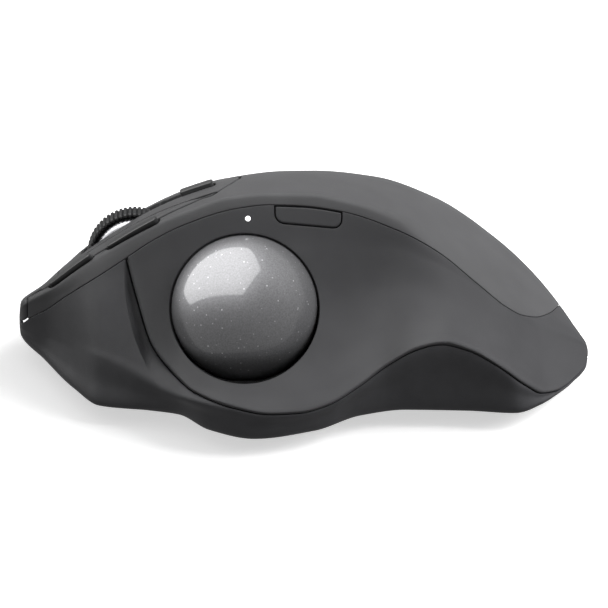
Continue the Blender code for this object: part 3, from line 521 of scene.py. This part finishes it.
def split_at(bm, field, values, share, radius):
    """Add an edge loop where the field equals a share of the edge radius, and return its vertices."""
    low = [v for v, value in values.items() if value < radius + 0.01]
    levels = {v: share * edge_radius(v.co.x, radius) for v in low}
    on_line = {v for v, level in levels.items() if abs(values[v] - level) < 2e-3}
    touched = dict.fromkeys(face for v in low if v in on_line for face in v.link_faces)
    edges = dict.fromkeys(edge for v in low if v not in on_line for edge in v.link_edges)
    for edge in edges:
        a, b = edge.verts
        if a in on_line or b in on_line:
            continue
        a, b = (a, b) if a in levels else (b, a)
        over_a = values[a] - levels[a]
        over_b = values[b] - levels.get(b, share * edge_radius(b.co.x, radius))
        if over_a * over_b < 0.0:
            start, end = 0.0, 1.0
            for _ in range(9):
                mid = 0.5 * (start + end)
                p = a.co.lerp(b.co, mid)
                if (field(p) - share * edge_radius(p.x, radius)) * over_a > 0.0:
                    start = mid
                else:
                    end = mid
            vert = bmesh.utils.edge_split(edge, a, 0.5 * (start + end))[1]
            values[vert] = levels[vert] = share * edge_radius(vert.co.x, radius)
            on_line.add(vert)
            touched.update(dict.fromkeys(vert.link_faces))
    for face in touched:
        corners = [v for v in face.verts if v in on_line]
        rest = [v for v in face.verts if v not in on_line]
        sides = {values[v] > levels.get(v, 0.0) for v in rest}
        if len(corners) >= 2 and len(sides) == 2:
            split_face(bm, face, corners)
    return on_line


def cut(bm, field, radius=EDGE_R):
    """Keep the surface where the field is positive, scored along the edge so that it can be rounded."""
    values = {v: field(v.co) for v in bm.verts}
    far = [f for f in bm.faces if all(values[v] < -0.5 for v in f.verts)]
    bmesh.ops.delete(bm, geom=far, context="FACES")
    values = {v: values[v] for v in bm.verts}
    for share in EDGE_STEPS if radius > 0.0 else (0.0,):
        on_line = split_at(bm, field, values, share, max(radius, 0.01))
    outside = [f for f in bm.faces if sum(values[v] for v in f.verts if v not in on_line) <= 0.0]
    bmesh.ops.delete(bm, geom=outside, context="FACES")


def rounded_drop(p, fields, radius):
    """How far a point near the seams lies below the unrounded surface."""
    r = edge_radius(p.x, radius)
    spent = sum(max(0.0, r - field(p)) ** 2 for field in fields)
    return r - math.sqrt(max(0.0, r * r - spent))


def cover(bm, fields, radius=EDGE_R, outward=None, shape=None, rolled=(), free=()):
    """A closed wall cut from a piece of surface by its fields, with rounded or more widely rolled edges.

    Free fields cut without rounding the edge, outward lifts the surface and shape moves both its sides.
    """
    for field in fields:
        cut(bm, field, radius)
    for field in rolled:
        cut(bm, field, ROLL_R)
    for field in free:
        cut(bm, field, 0.0)
    solid = bmesh.new()
    outer, inner = {}, {}
    for v in bm.verts:
        direction = wall_direction(v.co)
        lift = outward(v.co) if outward else 0.0
        base = v.co + (shape(v.co) if shape else Vector())
        drop = max(rounded_drop(v.co, fields, radius), rounded_drop(v.co, rolled, ROLL_R))
        outer[v] = solid.verts.new(base + direction * (lift - drop))
        inner[v] = solid.verts.new(base - direction * WALL(v.co.x))
    for face in bm.faces:
        solid.faces.new([outer[v] for v in face.verts])
        solid.faces.new([inner[v] for v in reversed(face.verts)])
    for edge in bm.edges:
        if len(edge.link_faces) == 1:
            loop = edge.link_loops[0]
            a, b = loop.vert, loop.link_loop_next.vert
            solid.faces.new((outer[b], outer[a], inner[a], inner[b]))
    bm.free()
    bmesh.ops.triangulate(solid, faces=[f for f in solid.faces if len(f.verts) > 4])
    bmesh.ops.recalc_face_normals(solid, faces=solid.faces)
    return solid


# ---------------------------------------------------------------- materials

class Material:
    """A Principled material with small helpers for its noise, bump and colour nodes."""

    def __init__(self, name, colour, roughness, metallic=0.0, **sockets):
        self.mat = bpy.data.materials.new(name)
        self.mat.use_nodes = True
        self.tree = self.mat.node_tree
        self.shader = self.tree.nodes["Principled BSDF"]
        self.colour = colour
        self.shader.inputs["Base Color"].default_value = (*colour, 1.0)
        self.shader.inputs["Roughness"].default_value = roughness
        self.shader.inputs["Metallic"].default_value = metallic
        for socket, value in sockets.items():
            self.shader.inputs[socket.replace("_", " ")].default_value = value
        coordinates = self.tree.nodes.new("ShaderNodeTexCoord")
        self.place = coordinates.outputs["Object"]
        self.normal = None

    def link(self, a, b):
        self.tree.links.new(a, b)

    def noise(self, size_mm, detail=2.0, stretch=(1, 1, 1)):
        """Noise with features about size_mm across."""
        mapping = self.tree.nodes.new("ShaderNodeMapping")
        mapping.inputs["Scale"].default_value = stretch
        self.link(self.place, mapping.inputs["Vector"])
        node = self.tree.nodes.new("ShaderNodeTexNoise")
        node.inputs["Scale"].default_value = 1000.0 / size_mm
        node.inputs["Detail"].default_value = detail
        self.link(mapping.outputs["Vector"], node.inputs["Vector"])
        return node.outputs["Fac"]

    def cells(self, size_mm):
        """Irregular cells about size_mm across."""
        node = self.tree.nodes.new("ShaderNodeTexVoronoi")
        node.inputs["Scale"].default_value = 1000.0 / size_mm
        self.link(self.place, node.inputs["Vector"])
        return node

    def ramp(self, source, *stops):
        """Colours or greys at positions along a value."""
        node = self.tree.nodes.new("ShaderNodeValToRGB")
        ramp = node.color_ramp
        while len(ramp.elements) < len(stops):
            ramp.elements.new(0.5)
        for element, (position, colour) in zip(ramp.elements, stops):
            element.position = position
            element.color = (*colour, 1.0) if hasattr(colour, "__len__") else (colour, colour, colour, 1.0)
        self.link(source, node.inputs["Fac"])
        return node.outputs["Color"]

    def vary(self, source, low, high):
        """Base colour that wanders between two shades of the material's own colour."""
        shades = [tuple(c * share for c in self.colour) for share in (low, high)]
        self.link(self.ramp(source, (0.35, shades[0]), (0.65, shades[1])), self.shader.inputs["Base Color"])
        return self

    def rough(self, source, low, high):
        """Roughness that wanders between two values."""
        self.link(self.ramp(source, (0.3, low), (0.7, high)), self.shader.inputs["Roughness"])
        return self

    def bump(self, source, depth_mm):
        """A fine relief on top of those added before it."""
        node = self.tree.nodes.new("ShaderNodeBump")
        node.inputs["Strength"].default_value = 1.0
        node.inputs["Distance"].default_value = depth_mm * MM
        self.link(source, node.inputs["Height"])
        if self.normal is not None:
            self.link(self.normal, node.inputs["Normal"])
        self.normal = node.outputs["Normal"]
        self.link(self.normal, self.shader.inputs["Normal"])
        return self


def soft_touch(name, colour, roughness=0.5):
    """Rubbery coat: a very fine even grain with faint broad patches where it is a little smoother."""
    m = Material(name, colour, roughness, Specular_IOR_Level=0.25, Sheen_Weight=0.03, Sheen_Roughness=0.5)
    m.vary(m.noise(9.0, 3.0), 0.95, 1.05)
    m.rough(m.noise(14.0, 2.0), roughness - 0.05, roughness + 0.05)
    m.bump(m.noise(0.16, 3.0), 0.012)
    return m.mat


def moulded(name, colour, roughness=0.5):
    """Hard plastic with a sandblasted mould texture."""
    m = Material(name, colour, roughness, Specular_IOR_Level=0.25)
    m.vary(m.noise(5.0, 3.0), 0.94, 1.06)
    m.rough(m.noise(8.0, 2.0), roughness - 0.06, roughness + 0.06)
    m.bump(m.cells(0.22).outputs["Distance"], 0.01)
    m.bump(m.noise(0.5, 3.0), 0.006)
    return m.mat


def glossy(name, colour, roughness=0.22):
    """Smooth dark plastic with fine hairline marks."""
    m = Material(name, colour, roughness, Specular_IOR_Level=0.5, Coat_Weight=0.2, Coat_Roughness=0.15)
    m.vary(m.noise(3.0, 2.0), 0.9, 1.1)
    m.rough(m.noise(2.0, 4.0, (1, 12, 12)), roughness - 0.04, roughness + 0.08)
    m.bump(m.noise(1.2, 4.0), 0.003)
    return m.mat


def brushed(name, colour=(0.55, 0.56, 0.58), stretch=(1, 30, 30), roughness=0.3):
    """Metal with fine straight brush marks."""
    m = Material(name, colour, roughness, metallic=1.0)
    m.vary(m.noise(4.0, 5.0, stretch), 0.86, 1.08)
    m.rough(m.noise(3.0, 5.0, stretch), roughness - 0.08, roughness + 0.12)
    m.bump(m.noise(2.0, 5.0, stretch), 0.004)
    return m.mat


def board(name):
    """Green circuit board: solder mask over a faint grid of copper tracks."""
    m = Material(name, (0.012, 0.085, 0.045), 0.35, Coat_Weight=0.3, Coat_Roughness=0.2)
    tracks = m.tree.nodes.new("ShaderNodeTexBrick")
    tracks.inputs["Scale"].default_value = 900.0
    tracks.inputs["Mortar Size"].default_value = 0.03
    tracks.inputs["Color1"].default_value = (0.012, 0.085, 0.045, 1.0)
    tracks.inputs["Color2"].default_value = (0.016, 0.10, 0.05, 1.0)
    tracks.inputs["Mortar"].default_value = (0.03, 0.16, 0.08, 1.0)
    m.link(m.place, tracks.inputs["Vector"])
    m.link(tracks.outputs["Color"], m.shader.inputs["Base Color"])
    m.bump(m.noise(0.8, 3.0), 0.01)
    return m.mat


def pearl(name):
    """The ball: smoky resin full of fine silver flakes under a hard clear coat."""
    m = Material(name, (0.22, 0.22, 0.23), 0.46, metallic=0.7, Coat_Weight=1.0, Coat_Roughness=0.015,
                 Coat_IOR=1.6, Specular_IOR_Level=0.3)
    flakes = m.cells(1.1)
    core = m.ramp(flakes.outputs["Distance"], (0.09, 1.0), (0.2, 0.0))
    chosen = m.ramp(flakes.outputs["Color"], (0.5, 0.0), (0.9, 1.0))
    spark = m.tree.nodes.new("ShaderNodeMixRGB")
    spark.blend_type = "MULTIPLY"
    spark.inputs["Fac"].default_value = 1.0
    m.link(core, spark.inputs["Color1"])
    m.link(chosen, spark.inputs["Color2"])
    body = m.ramp(m.noise(0.35, 4.0), (0.3, (0.2, 0.2, 0.207)), (0.75, (0.29, 0.29, 0.3)))
    mixed = m.tree.nodes.new("ShaderNodeMixRGB")
    mixed.blend_type = "MIX"
    mixed.inputs["Color2"].default_value = (0.85, 0.85, 0.87, 1.0)
    m.link(spark.outputs["Color"], mixed.inputs["Fac"])
    m.link(body, mixed.inputs["Color1"])
    m.link(mixed.outputs["Color"], m.shader.inputs["Base Color"])
    return m.mat


def rubber(name, colour=(0.014, 0.014, 0.015), roughness=0.55):
    m = Material(name, colour, roughness, Specular_IOR_Level=0.4)
    m.vary(m.noise(2.0, 3.0), 0.85, 1.15)
    m.bump(m.noise(0.3, 4.0), 0.02)
    return m.mat


def light_pipe(name):
    m = Material(name, (0.9, 0.9, 0.9), 0.3, Emission_Strength=1.6)
    m.shader.inputs["Emission Color"].default_value = (1.0, 1.0, 1.0, 1.0)
    m.vary(m.noise(0.4, 2.0), 0.95, 1.0)
    return m.mat


def ceramic(name):
    m = Material(name, (0.78, 0.78, 0.76), 0.18, Coat_Weight=0.5, Coat_Roughness=0.05)
    m.vary(m.noise(1.0, 2.0), 0.97, 1.0)
    m.bump(m.noise(0.6, 2.0), 0.002)
    return m.mat


def foil(name):
    """Shrink-wrapped cell: slightly wrinkled grey film."""
    m = Material(name, (0.30, 0.30, 0.31), 0.35, Coat_Weight=0.4, Coat_Roughness=0.2)
    m.vary(m.noise(6.0, 3.0), 0.92, 1.05)
    m.bump(m.noise(3.5, 4.0), 0.12)
    return m.mat


# ---------------------------------------------------------------- making pieces

def piece(name, bm, mat, body, nodes, sharp_angle=42.0):
    """A piece made from a bmesh in millimetres, riding on a body in place of some CAD nodes."""
    low, high = CAD_BOX
    for v in bm.verts:
        v.co = v.co * MM
        for axis in range(3):
            v.co[axis] = min(high[axis], max(low[axis], v.co[axis]))
    mesh = bpy.data.meshes.new(name)
    bm.to_mesh(mesh)
    bm.free()
    mesh.materials.append(mat)
    mesh.shade_smooth()
    mesh.set_sharp_from_angle(angle=math.radians(sharp_angle))
    obj = bpy.data.objects.new(name, mesh)
    bpy.context.scene.collection.objects.link(obj)
    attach(obj, body)
    if nodes:
        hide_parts(*nodes)
    return obj


def refined(node, mat, width_mm):
    """A copy of a CAD node with its edges rounded, in place of the node."""
    body = NODES[node]["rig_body"]
    mesh = NODES[node].data.copy()
    mesh.materials.clear()
    mesh.materials.append(mat)
    obj = bpy.data.objects.new(node + "_fine", mesh)
    bpy.context.scene.collection.objects.link(obj)
    weld = obj.modifiers.new("weld", "WELD")
    weld.merge_threshold = 1e-6
    bevel = obj.modifiers.new("edges", "BEVEL")
    bevel.width = width_mm * MM
    bevel.segments = 2
    bevel.limit_method = "ANGLE"
    bevel.angle_limit = math.radians(40)
    bevel.harden_normals = True
    mesh.shade_smooth()
    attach(obj, body)
    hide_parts(node)
    return obj


def add_block(bm, centre, size):
    bmesh.ops.create_cube(bm, size=1.0, matrix=Matrix.Translation(centre) @ Matrix.Diagonal((*size, 1.0)))


def bored(solid, holes):
    """The solid with the holes cut through it."""
    work = []
    for bm in (solid, holes):
        mesh = bpy.data.meshes.new("work")
        bm.to_mesh(mesh)
        bm.free()
        work.append(bpy.data.objects.new("work", mesh))
        bpy.context.scene.collection.objects.link(work[-1])
    cutting = work[0].modifiers.new("holes", "BOOLEAN")
    cutting.solver = "EXACT"
    cutting.object = work[1]
    result = bmesh.new()
    result.from_object(work[0], bpy.context.evaluated_depsgraph_get())
    for obj in work:
        mesh = obj.data
        bpy.data.objects.remove(obj)
        bpy.data.meshes.remove(mesh)
    return result


def turned(profile, segments, to_world):
    """A solid turned from a closed profile of (radius, height) points; the radius may depend on the angle."""
    bm = bmesh.new()
    rows = []
    for k in range(segments):
        angle = 2 * math.pi * k / segments
        points = profile(angle) if callable(profile) else profile
        rows.append([bm.verts.new(to_world(r * math.cos(angle), r * math.sin(angle), h)) for r, h in points])
    count = len(rows[0])
    for k, row in enumerate(rows):
        after = rows[(k + 1) % segments]
        for i in range(count):
            bm.faces.new((row[i], row[(i + 1) % count], after[(i + 1) % count], after[i]))
    bmesh.ops.recalc_face_normals(bm, faces=bm.faces)
    return bm


# ---------------------------------------------------------------- covers

LEFT_LIMIT = left_of(MIDDLE - HALF_SEAM)
RIGHT_LIMIT = right_of(MIDDLE + HALF_SEAM)
BUTTON = [beyond(cover_line, BUTTON_GAP), beyond(over_skirt, BUTTON_GAP), short_of(button_end, BUTTON_SEAM),
          short_of(strip_area)]

# Front edge of the hollow in the front wall: place along the body at each height in the leaning plane.
HOLLOW_EDGE = smooth((-12, -31), (-4, -34.8), (0, -36.9), (5, -39.0), (7.6, -39.8), (11.3, -40.7),
                     (15.4, -41.4), (19.1, -41.8), (23.2, -41.8))
HOLLOW_DEPTH = smooth((-9, 0.0), (-3, 0.9), (4, 2.0), (14, 1.7), (20, 0.8), (24, 0.0))


def hollow_side(p):
    return p.x - HOLLOW_EDGE(height_in_plane(p))


def hollow(p):
    """The knife-like hollow in the front wall, deepest beside the thumb panel's edge."""
    ahead = hollow_side(p)
    if ahead <= 0.0 or p.y > THUMB_SIDE or not HOLLOW_SPAN[0] < p.x < HOLLOW_SPAN[1]:
        return Vector()
    behind = max(0.0, -above(W_PANEL, p))
    share = ahead / (ahead + behind)
    return INTO_BODY * HOLLOW_DEPTH(height_in_plane(p)) * math.sin(0.5 * math.pi * share)


def shell_shape(p):
    """The lower shell is set back just below the thumb panel's rolled edge, and hollow in front of it."""
    if p.x < PANEL_FRONT or p.y > THUMB_SIDE:
        return hollow(p)
    below = max(0.0, -panel_line(p))
    fade = min(1.0, (p.x - PANEL_FRONT) / FADE) * min(1.0, max(0.0, (SET_BACK_END - p.x) / FADE))
    return hollow(p) - wall_direction(p) * SET_BACK * fade * math.exp(-below / SET_BACK_REACH)


def shell_holes():
    """Slots for the hinges, slider and socket, and round holes for the screws and to push the ball out."""
    bm = bmesh.new()
    for x in HINGE_X:
        add_block(bm, (x, RIDGE_Y, 5.0), HINGE_SLOT)
    add_block(bm, (*SLIDER, 5.0), SLIDER_SLOT)
    add_block(bm, PORT, PORT_SLOT)
    rounds = [(x, y, SCREW_HOLE_R) for x, y in SCREWS] + [(BALL_CENTRE.x, BALL_CENTRE.y, EJECT_R)]
    for x, y, radius in rounds:
        bmesh.ops.create_cone(bm, cap_ends=True, segments=40, radius1=radius, radius2=radius, depth=8.0,
                              matrix=Matrix.Translation((x, y, 5.0)))
    return bm


def make_lower_shell(mat):
    bm = surface()
    for offset in (0.0, 0.25):
        field = beyond(hollow_side, offset)
        split_at(bm, field, {v: field(v.co) for v in bm.verts}, 0.0, 0.01)
    solid = bored(cover(bm, [short_of(upper, STILL_GAP)], STILL_R, shape=shell_shape), shell_holes())
    return piece("lower_shell_fine", solid, mat, "body", ["lower_shell"])


def panel_bead(p):
    """The panel swells slightly towards its lower edge."""
    share = max(0.0, 1.0 - upper(p) / BEAD_WIDTH) * min(1.0, max(0.0, (BEAD_END - p.x) / FADE))
    return BEAD * share * share * (3 - 2 * share)


def make_thumb_panel(mat):
    fields = [short_of(cover_line, STILL_GAP), ball_opening, beyond(d_outline, CAP_GAP)]
    bm = surface(-46.0, HALF_LENGTH)
    rolled = [beyond(upper), heel_side(PANEL_FRONT + HALF_SEAM)]
    solid = cover(bm, fields, STILL_R, outward=panel_bead, rolled=rolled, free=[light_hole])
    return piece("thumb_panel_fine", solid, mat, "body", ["thumb_panel"])


def make_covers(skin, palm, dark):
    make_lower_shell(dark)
    make_thumb_panel(skin)
    fins = [beyond(fin_outline(*span), TRAVEL_GAP) for span in SIDE_BUTTONS.values()]
    fields = [beyond(cover_line, STILL_GAP), beyond(over_skirt, STILL_GAP), beyond(split_line), *fins]
    solid = cover(surface(), fields, STILL_R)
    piece("palm_cover_fine", solid, palm, "body", ["palm_cover"])
    solid = cover(surface(-HALF_LENGTH, 0.0), [*BUTTON, LEFT_LIMIT, *fins])
    piece("left_button_fine", solid, palm, "left_button", ["left_button"])
    solid = cover(surface(-HALF_LENGTH, 0.0), [*BUTTON, RIGHT_LIMIT])
    piece("right_button_fine", solid, palm, "right_button", ["right_button"])
    holes = [wheel_slot, beyond(pairing_outline, TRAVEL_GAP)]
    fields = [beyond(strip_area, STILL_GAP), beyond(over_skirt), short_of(button_end), *holes]
    solid = cover(surface(-HALF_LENGTH, 0.0), fields, STILL_R)
    piece("centre_strip_fine", solid, palm, "body", ["centre_strip"])


def make_small_buttons(skin, dark):
    for name, (x0, x1) in SIDE_BUTTONS.items():
        outline = fin_outline(x0, x1)

        def lift(p, x0=x0, x1=x1):
            share = max(0.0, min(1.0, (p.x - x0) / (x1 - x0)))
            return 0.7 + 0.5 * share

        fin = surface(x0 - 2.0, x1 + 2.0, 6, 11, FIN_STATIONS, FINE_RING)
        solid = cover(fin, [lambda p: -outline(p)], 0.28, lift)
        piece(name + "_fine", solid, dark, name, [name])
    x0, x1, _, _ = PAIRING
    cap = surface(x0 - 2.0, x1 + 2.0, 8, 12, FINE_STATIONS, FINE_RING)
    solid = cover(cap, [lambda p: -pairing_outline(p)], 0.3, lambda p: 1.05)
    piece("pairing_button_fine", solid, dark, "pairing_button", ["pairing_button"])
    fields = [short_of(cover_line, HALF_SEAM + PRESS_ROOM), lambda p: -d_outline(p)]
    solid = cover(surface(-9.0, 11.0, 4, 8, FINE_STATIONS, FINE_RING), fields, 0.35, lambda p: 0.1)
    piece("precision_button_fine", solid, skin, "precision_button", ["precision_button"])


# ---------------------------------------------------------------- ball, light and wheel

def surface_depth(x, w):
    """Depth behind the leaning plane of the thumb side at x and height w."""
    points = section(x)
    spots = [between(points, i, k / 40) for i in range(1, 9) for k in range(40)]
    nearest = min(spots, key=lambda p: abs(p.y * COS_L + p.x * SIN_L - w))
    return nearest.x * COS_L - nearest.y * SIN_L


BALL_CENTRE = from_lean(BALL_X, BALL_W, BALL_D)


def make_ball(mat):
    bm = bmesh.new()
    bmesh.ops.create_icosphere(bm, subdivisions=6, radius=BALL_R)
    bmesh.ops.translate(bm, vec=BALL_CENTRE, verts=bm.verts)
    piece("trackball_fine", bm, mat, "ball", ["trackball"])


def make_status_light(mat):
    """A light pipe with a domed end, just below the panel's surface."""
    x, w = LED
    depth = surface_depth(x, w)
    radius = 0.62
    profile = [(0.02, 3.8), (radius, 3.8), (radius, 0.15), (0.52, 0.03), (0.3, -0.03), (0.02, -0.05)]
    bm = turned(profile, 32, lambda a, b, c: from_lean(x + a, w + b, depth + c))
    piece("status_light_fine", bm, mat, "body", ["status_light"])


def wheel_point(a, b, c):
    """World point from two distances in the wheel's plane and one along its axle."""
    return WHEEL_CENTRE + WHEEL_TURN @ Vector((a, c, b))


def tyre_profile(angle):
    """The tyre's section at an angle, drawn in at each notch."""
    phase = (angle * NOTCHES / (2 * math.pi)) % 1.0
    notch = max(0.0, math.cos(2 * math.pi * phase)) ** 0.5
    depth, side = 0.42 * notch, 0.36 * notch
    half = [(10.0, 2.6), (10.15, 3.6), (10.3, 3.95 - side), (10.7 - 0.5 * depth, 4.0 - side),
            (WHEEL_R - 0.1 - depth, 3.75 - side), (WHEEL_R - depth, 3.3), (WHEEL_R - depth, 2.2),
            (WHEEL_R - depth, 0.8)]
    return [(r, -h) for r, h in half] + [(r, h) for r, h in reversed(half)]


def make_wheel(tyre_mat, hub_mat):
    bm = turned(tyre_profile, NOTCHES * 8, wheel_point)
    piece("wheel_tyre_fine", bm, tyre_mat, "wheel", ["wheel_tyre"], sharp_angle=50)
    half = [(1.8, 3.5), (3.0, 3.5), (3.3, 3.3), (3.6, 2.6), (4.4, 2.2), (5.5, 2.5), (6.4, 3.2), (7.0, 3.75),
            (7.5, 3.95), (8.1, 3.9), (8.8, 3.6), (9.4, 3.1), (9.95, 2.4)]
    profile = [(r, -h) for r, h in half] + [(r, h) for r, h in reversed(half)]
    bm = turned(profile, 160, wheel_point)
    piece("wheel_hub_fine", bm, hub_mat, "wheel", ["wheel_hub"], sharp_angle=30)


# ---------------------------------------------------------------- the rest of the CAD nodes

def make_inner_parts():
    metal = brushed("brushed_steel")
    cross = brushed("turned_steel", stretch=(30, 30, 1))
    black = moulded("black_plastic", (0.014, 0.014, 0.015), 0.42)
    looks = {"brushed_steel": metal, "rubber": rubber("pad_rubber"), "matte_plastic": black,
             "gloss_plastic": ceramic("bearing_ceramic"), "glass": ceramic("lens_resin"), "aluminium": cross}
    special = {"battery": foil("cell_wrap"), "main_board": board("board_mask"), "wheel_axle": cross,
               "power_slider": moulded("slider_plastic", (0.55, 0.55, 0.54), 0.4)}
    special["button_board"] = special["main_board"]
    widths = {"tilt_plate": 0.3, "plate_pad": 0.25, "battery": 0.25, "chassis": 0.2,
              "ball_retaining_ring": 0.25}
    for row in frame["record"]["materials"]:
        node = row["slot"]
        if node in NODES and not NODES[node].hide_render:
            refined(node, special.get(node, looks[row["class"]]), widths.get(node, 0.12))


# ---------------------------------------------------------------- floor, lights and camera

def make_floor():
    bm = bmesh.new()
    bmesh.ops.create_grid(bm, x_segments=1, y_segments=1, size=6.0)
    mesh = bpy.data.meshes.new("floor")
    bm.to_mesh(mesh)
    bm.free()
    m = Material("floor_paper", (0.86, 0.86, 0.86), 0.8, Specular_IOR_Level=0.1, Emission_Strength=0.55)
    m.shader.inputs["Emission Color"].default_value = (1.0, 1.0, 1.0, 1.0)
    m.vary(m.noise(400.0, 2.0), 0.99, 1.01)
    mesh.materials.append(m.mat)
    obj = bpy.data.objects.new("floor", mesh)
    obj.location.z = -0.0005
    obj.visible_diffuse = obj.visible_glossy = False
    bpy.context.scene.collection.objects.link(obj)


def view_point(right, up, toward):
    """World point, in metres, from distances along the camera's own axes about the ball."""
    return BALL_CENTRE * MM + Vector((right, 0, 0)) + UP_PLANE * up - INTO_BODY * toward


def make_panel_light(name, corners, strength):
    """A flat glowing panel, which the camera doesn't see."""
    mesh = bpy.data.meshes.new(name)
    mesh.from_pydata([view_point(*c) for c in corners], [], [tuple(range(len(corners)))])
    mat = bpy.data.materials.new(name + "_glow")
    mat.use_nodes = True
    tree = mat.node_tree
    tree.nodes.clear()
    output = tree.nodes.new("ShaderNodeOutputMaterial")
    emission = tree.nodes.new("ShaderNodeEmission")
    emission.inputs["Strength"].default_value = strength
    tree.links.new(emission.outputs["Emission"], output.inputs["Surface"])
    mesh.materials.append(mat)
    obj = bpy.data.objects.new(name, mesh)
    bpy.context.scene.collection.objects.link(obj)
    obj.visible_camera = False
    return obj


def make_softbox(strength):
    """A large light over the nose, whose reflection is the bright patch on the ball."""
    low_left, high_left = Vector((-1.104, -0.080, -0.462)), Vector((0.066, 0.896, -0.303))
    high_right, low_right = Vector((0.493, 1.143, 0.518)), Vector((-0.061, 0.539, 1.425))
    corners = [low_left.lerp(high_left, 0.30), high_left, high_right, low_right,
               low_left.lerp(low_right, 0.21)]
    make_panel_light("softbox", corners, strength).visible_diffuse = False


def make_key_light(strength):
    """The main light from above the heel, too broad and soft to show in any reflection."""
    corners = [(0.5, 1.6, -0.9), (1.7, 1.2, -0.9), (1.9, 0.3, 0.9), (0.7, 0.9, 0.9)]
    make_panel_light("key_light", corners, strength).visible_glossy = False


def make_world(strength):
    """White high above, slightly darker towards and below the horizon."""
    world = bpy.data.worlds.new("studio")
    bpy.context.scene.world = world
    world.use_nodes = True
    tree = world.node_tree
    back = tree.nodes["Background"]
    back.inputs["Strength"].default_value = strength
    split = tree.nodes.new("ShaderNodeSeparateXYZ")
    tree.links.new(tree.nodes.new("ShaderNodeTexCoord").outputs["Generated"], split.inputs["Vector"])
    ramp = tree.nodes.new("ShaderNodeValToRGB")
    tree.links.new(split.outputs["Z"], ramp.inputs["Fac"])
    for stop, (place, level) in zip(ramp.color_ramp.elements, ((0.0, 0.75), (0.8, 1.0))):
        stop.position = place
        stop.color = (level, level, level, 1.0)
    tree.links.new(ramp.outputs["Color"], back.inputs["Color"])


def make_camera():
    """Far away with a long lens, looking straight at the thumb side's leaning plane."""
    lens, sensor, width = 1400.0, 36.0, 141.6
    distance = width * lens / sensor
    aim = Vector((0.1, 0.0, 13.4 / COS_L))
    data = bpy.data.cameras.new("camera")
    data.lens, data.sensor_width = lens, sensor
    data.clip_start, data.clip_end = 0.1, 30.0
    obj = bpy.data.objects.new("camera", data)
    obj.location = (aim - INTO_BODY * distance) * MM
    obj.rotation_euler = INTO_BODY.to_track_quat("-Z", "Y").to_euler()
    bpy.context.scene.collection.objects.link(obj)
    bpy.context.scene.camera = obj


# ---------------------------------------------------------------- the scene

make_camera()
make_floor()
make_world(0.4)
make_softbox(3.4)
make_key_light(8.2)
bpy.context.scene.view_settings.view_transform = "Standard"

skin_look = soft_touch("panel_coat", (0.043, 0.043, 0.0455), 0.5)
# Painted light: the palm coat gets a lighter colour than the panel coat so that the top of the palm cover
# looks lit from above.
palm_look_painted_lighter = soft_touch("palm_coat_painted_lighter", (0.066, 0.066, 0.0685), 0.46)
shell_look = moulded("shell_plastic", (0.052, 0.052, 0.0555), 0.5)
make_covers(skin_look, palm_look_painted_lighter, shell_look)
make_small_buttons(skin_look, glossy("button_plastic", (0.025, 0.025, 0.026), 0.35))
make_ball(pearl("ball_resin"))
make_status_light(light_pipe("light_pipe"))
make_wheel(rubber("tyre_rubber", (0.012, 0.012, 0.013), 0.45),
           brushed("hub_metal", (0.5, 0.5, 0.52), (20, 20, 20), 0.3))
make_inner_parts()
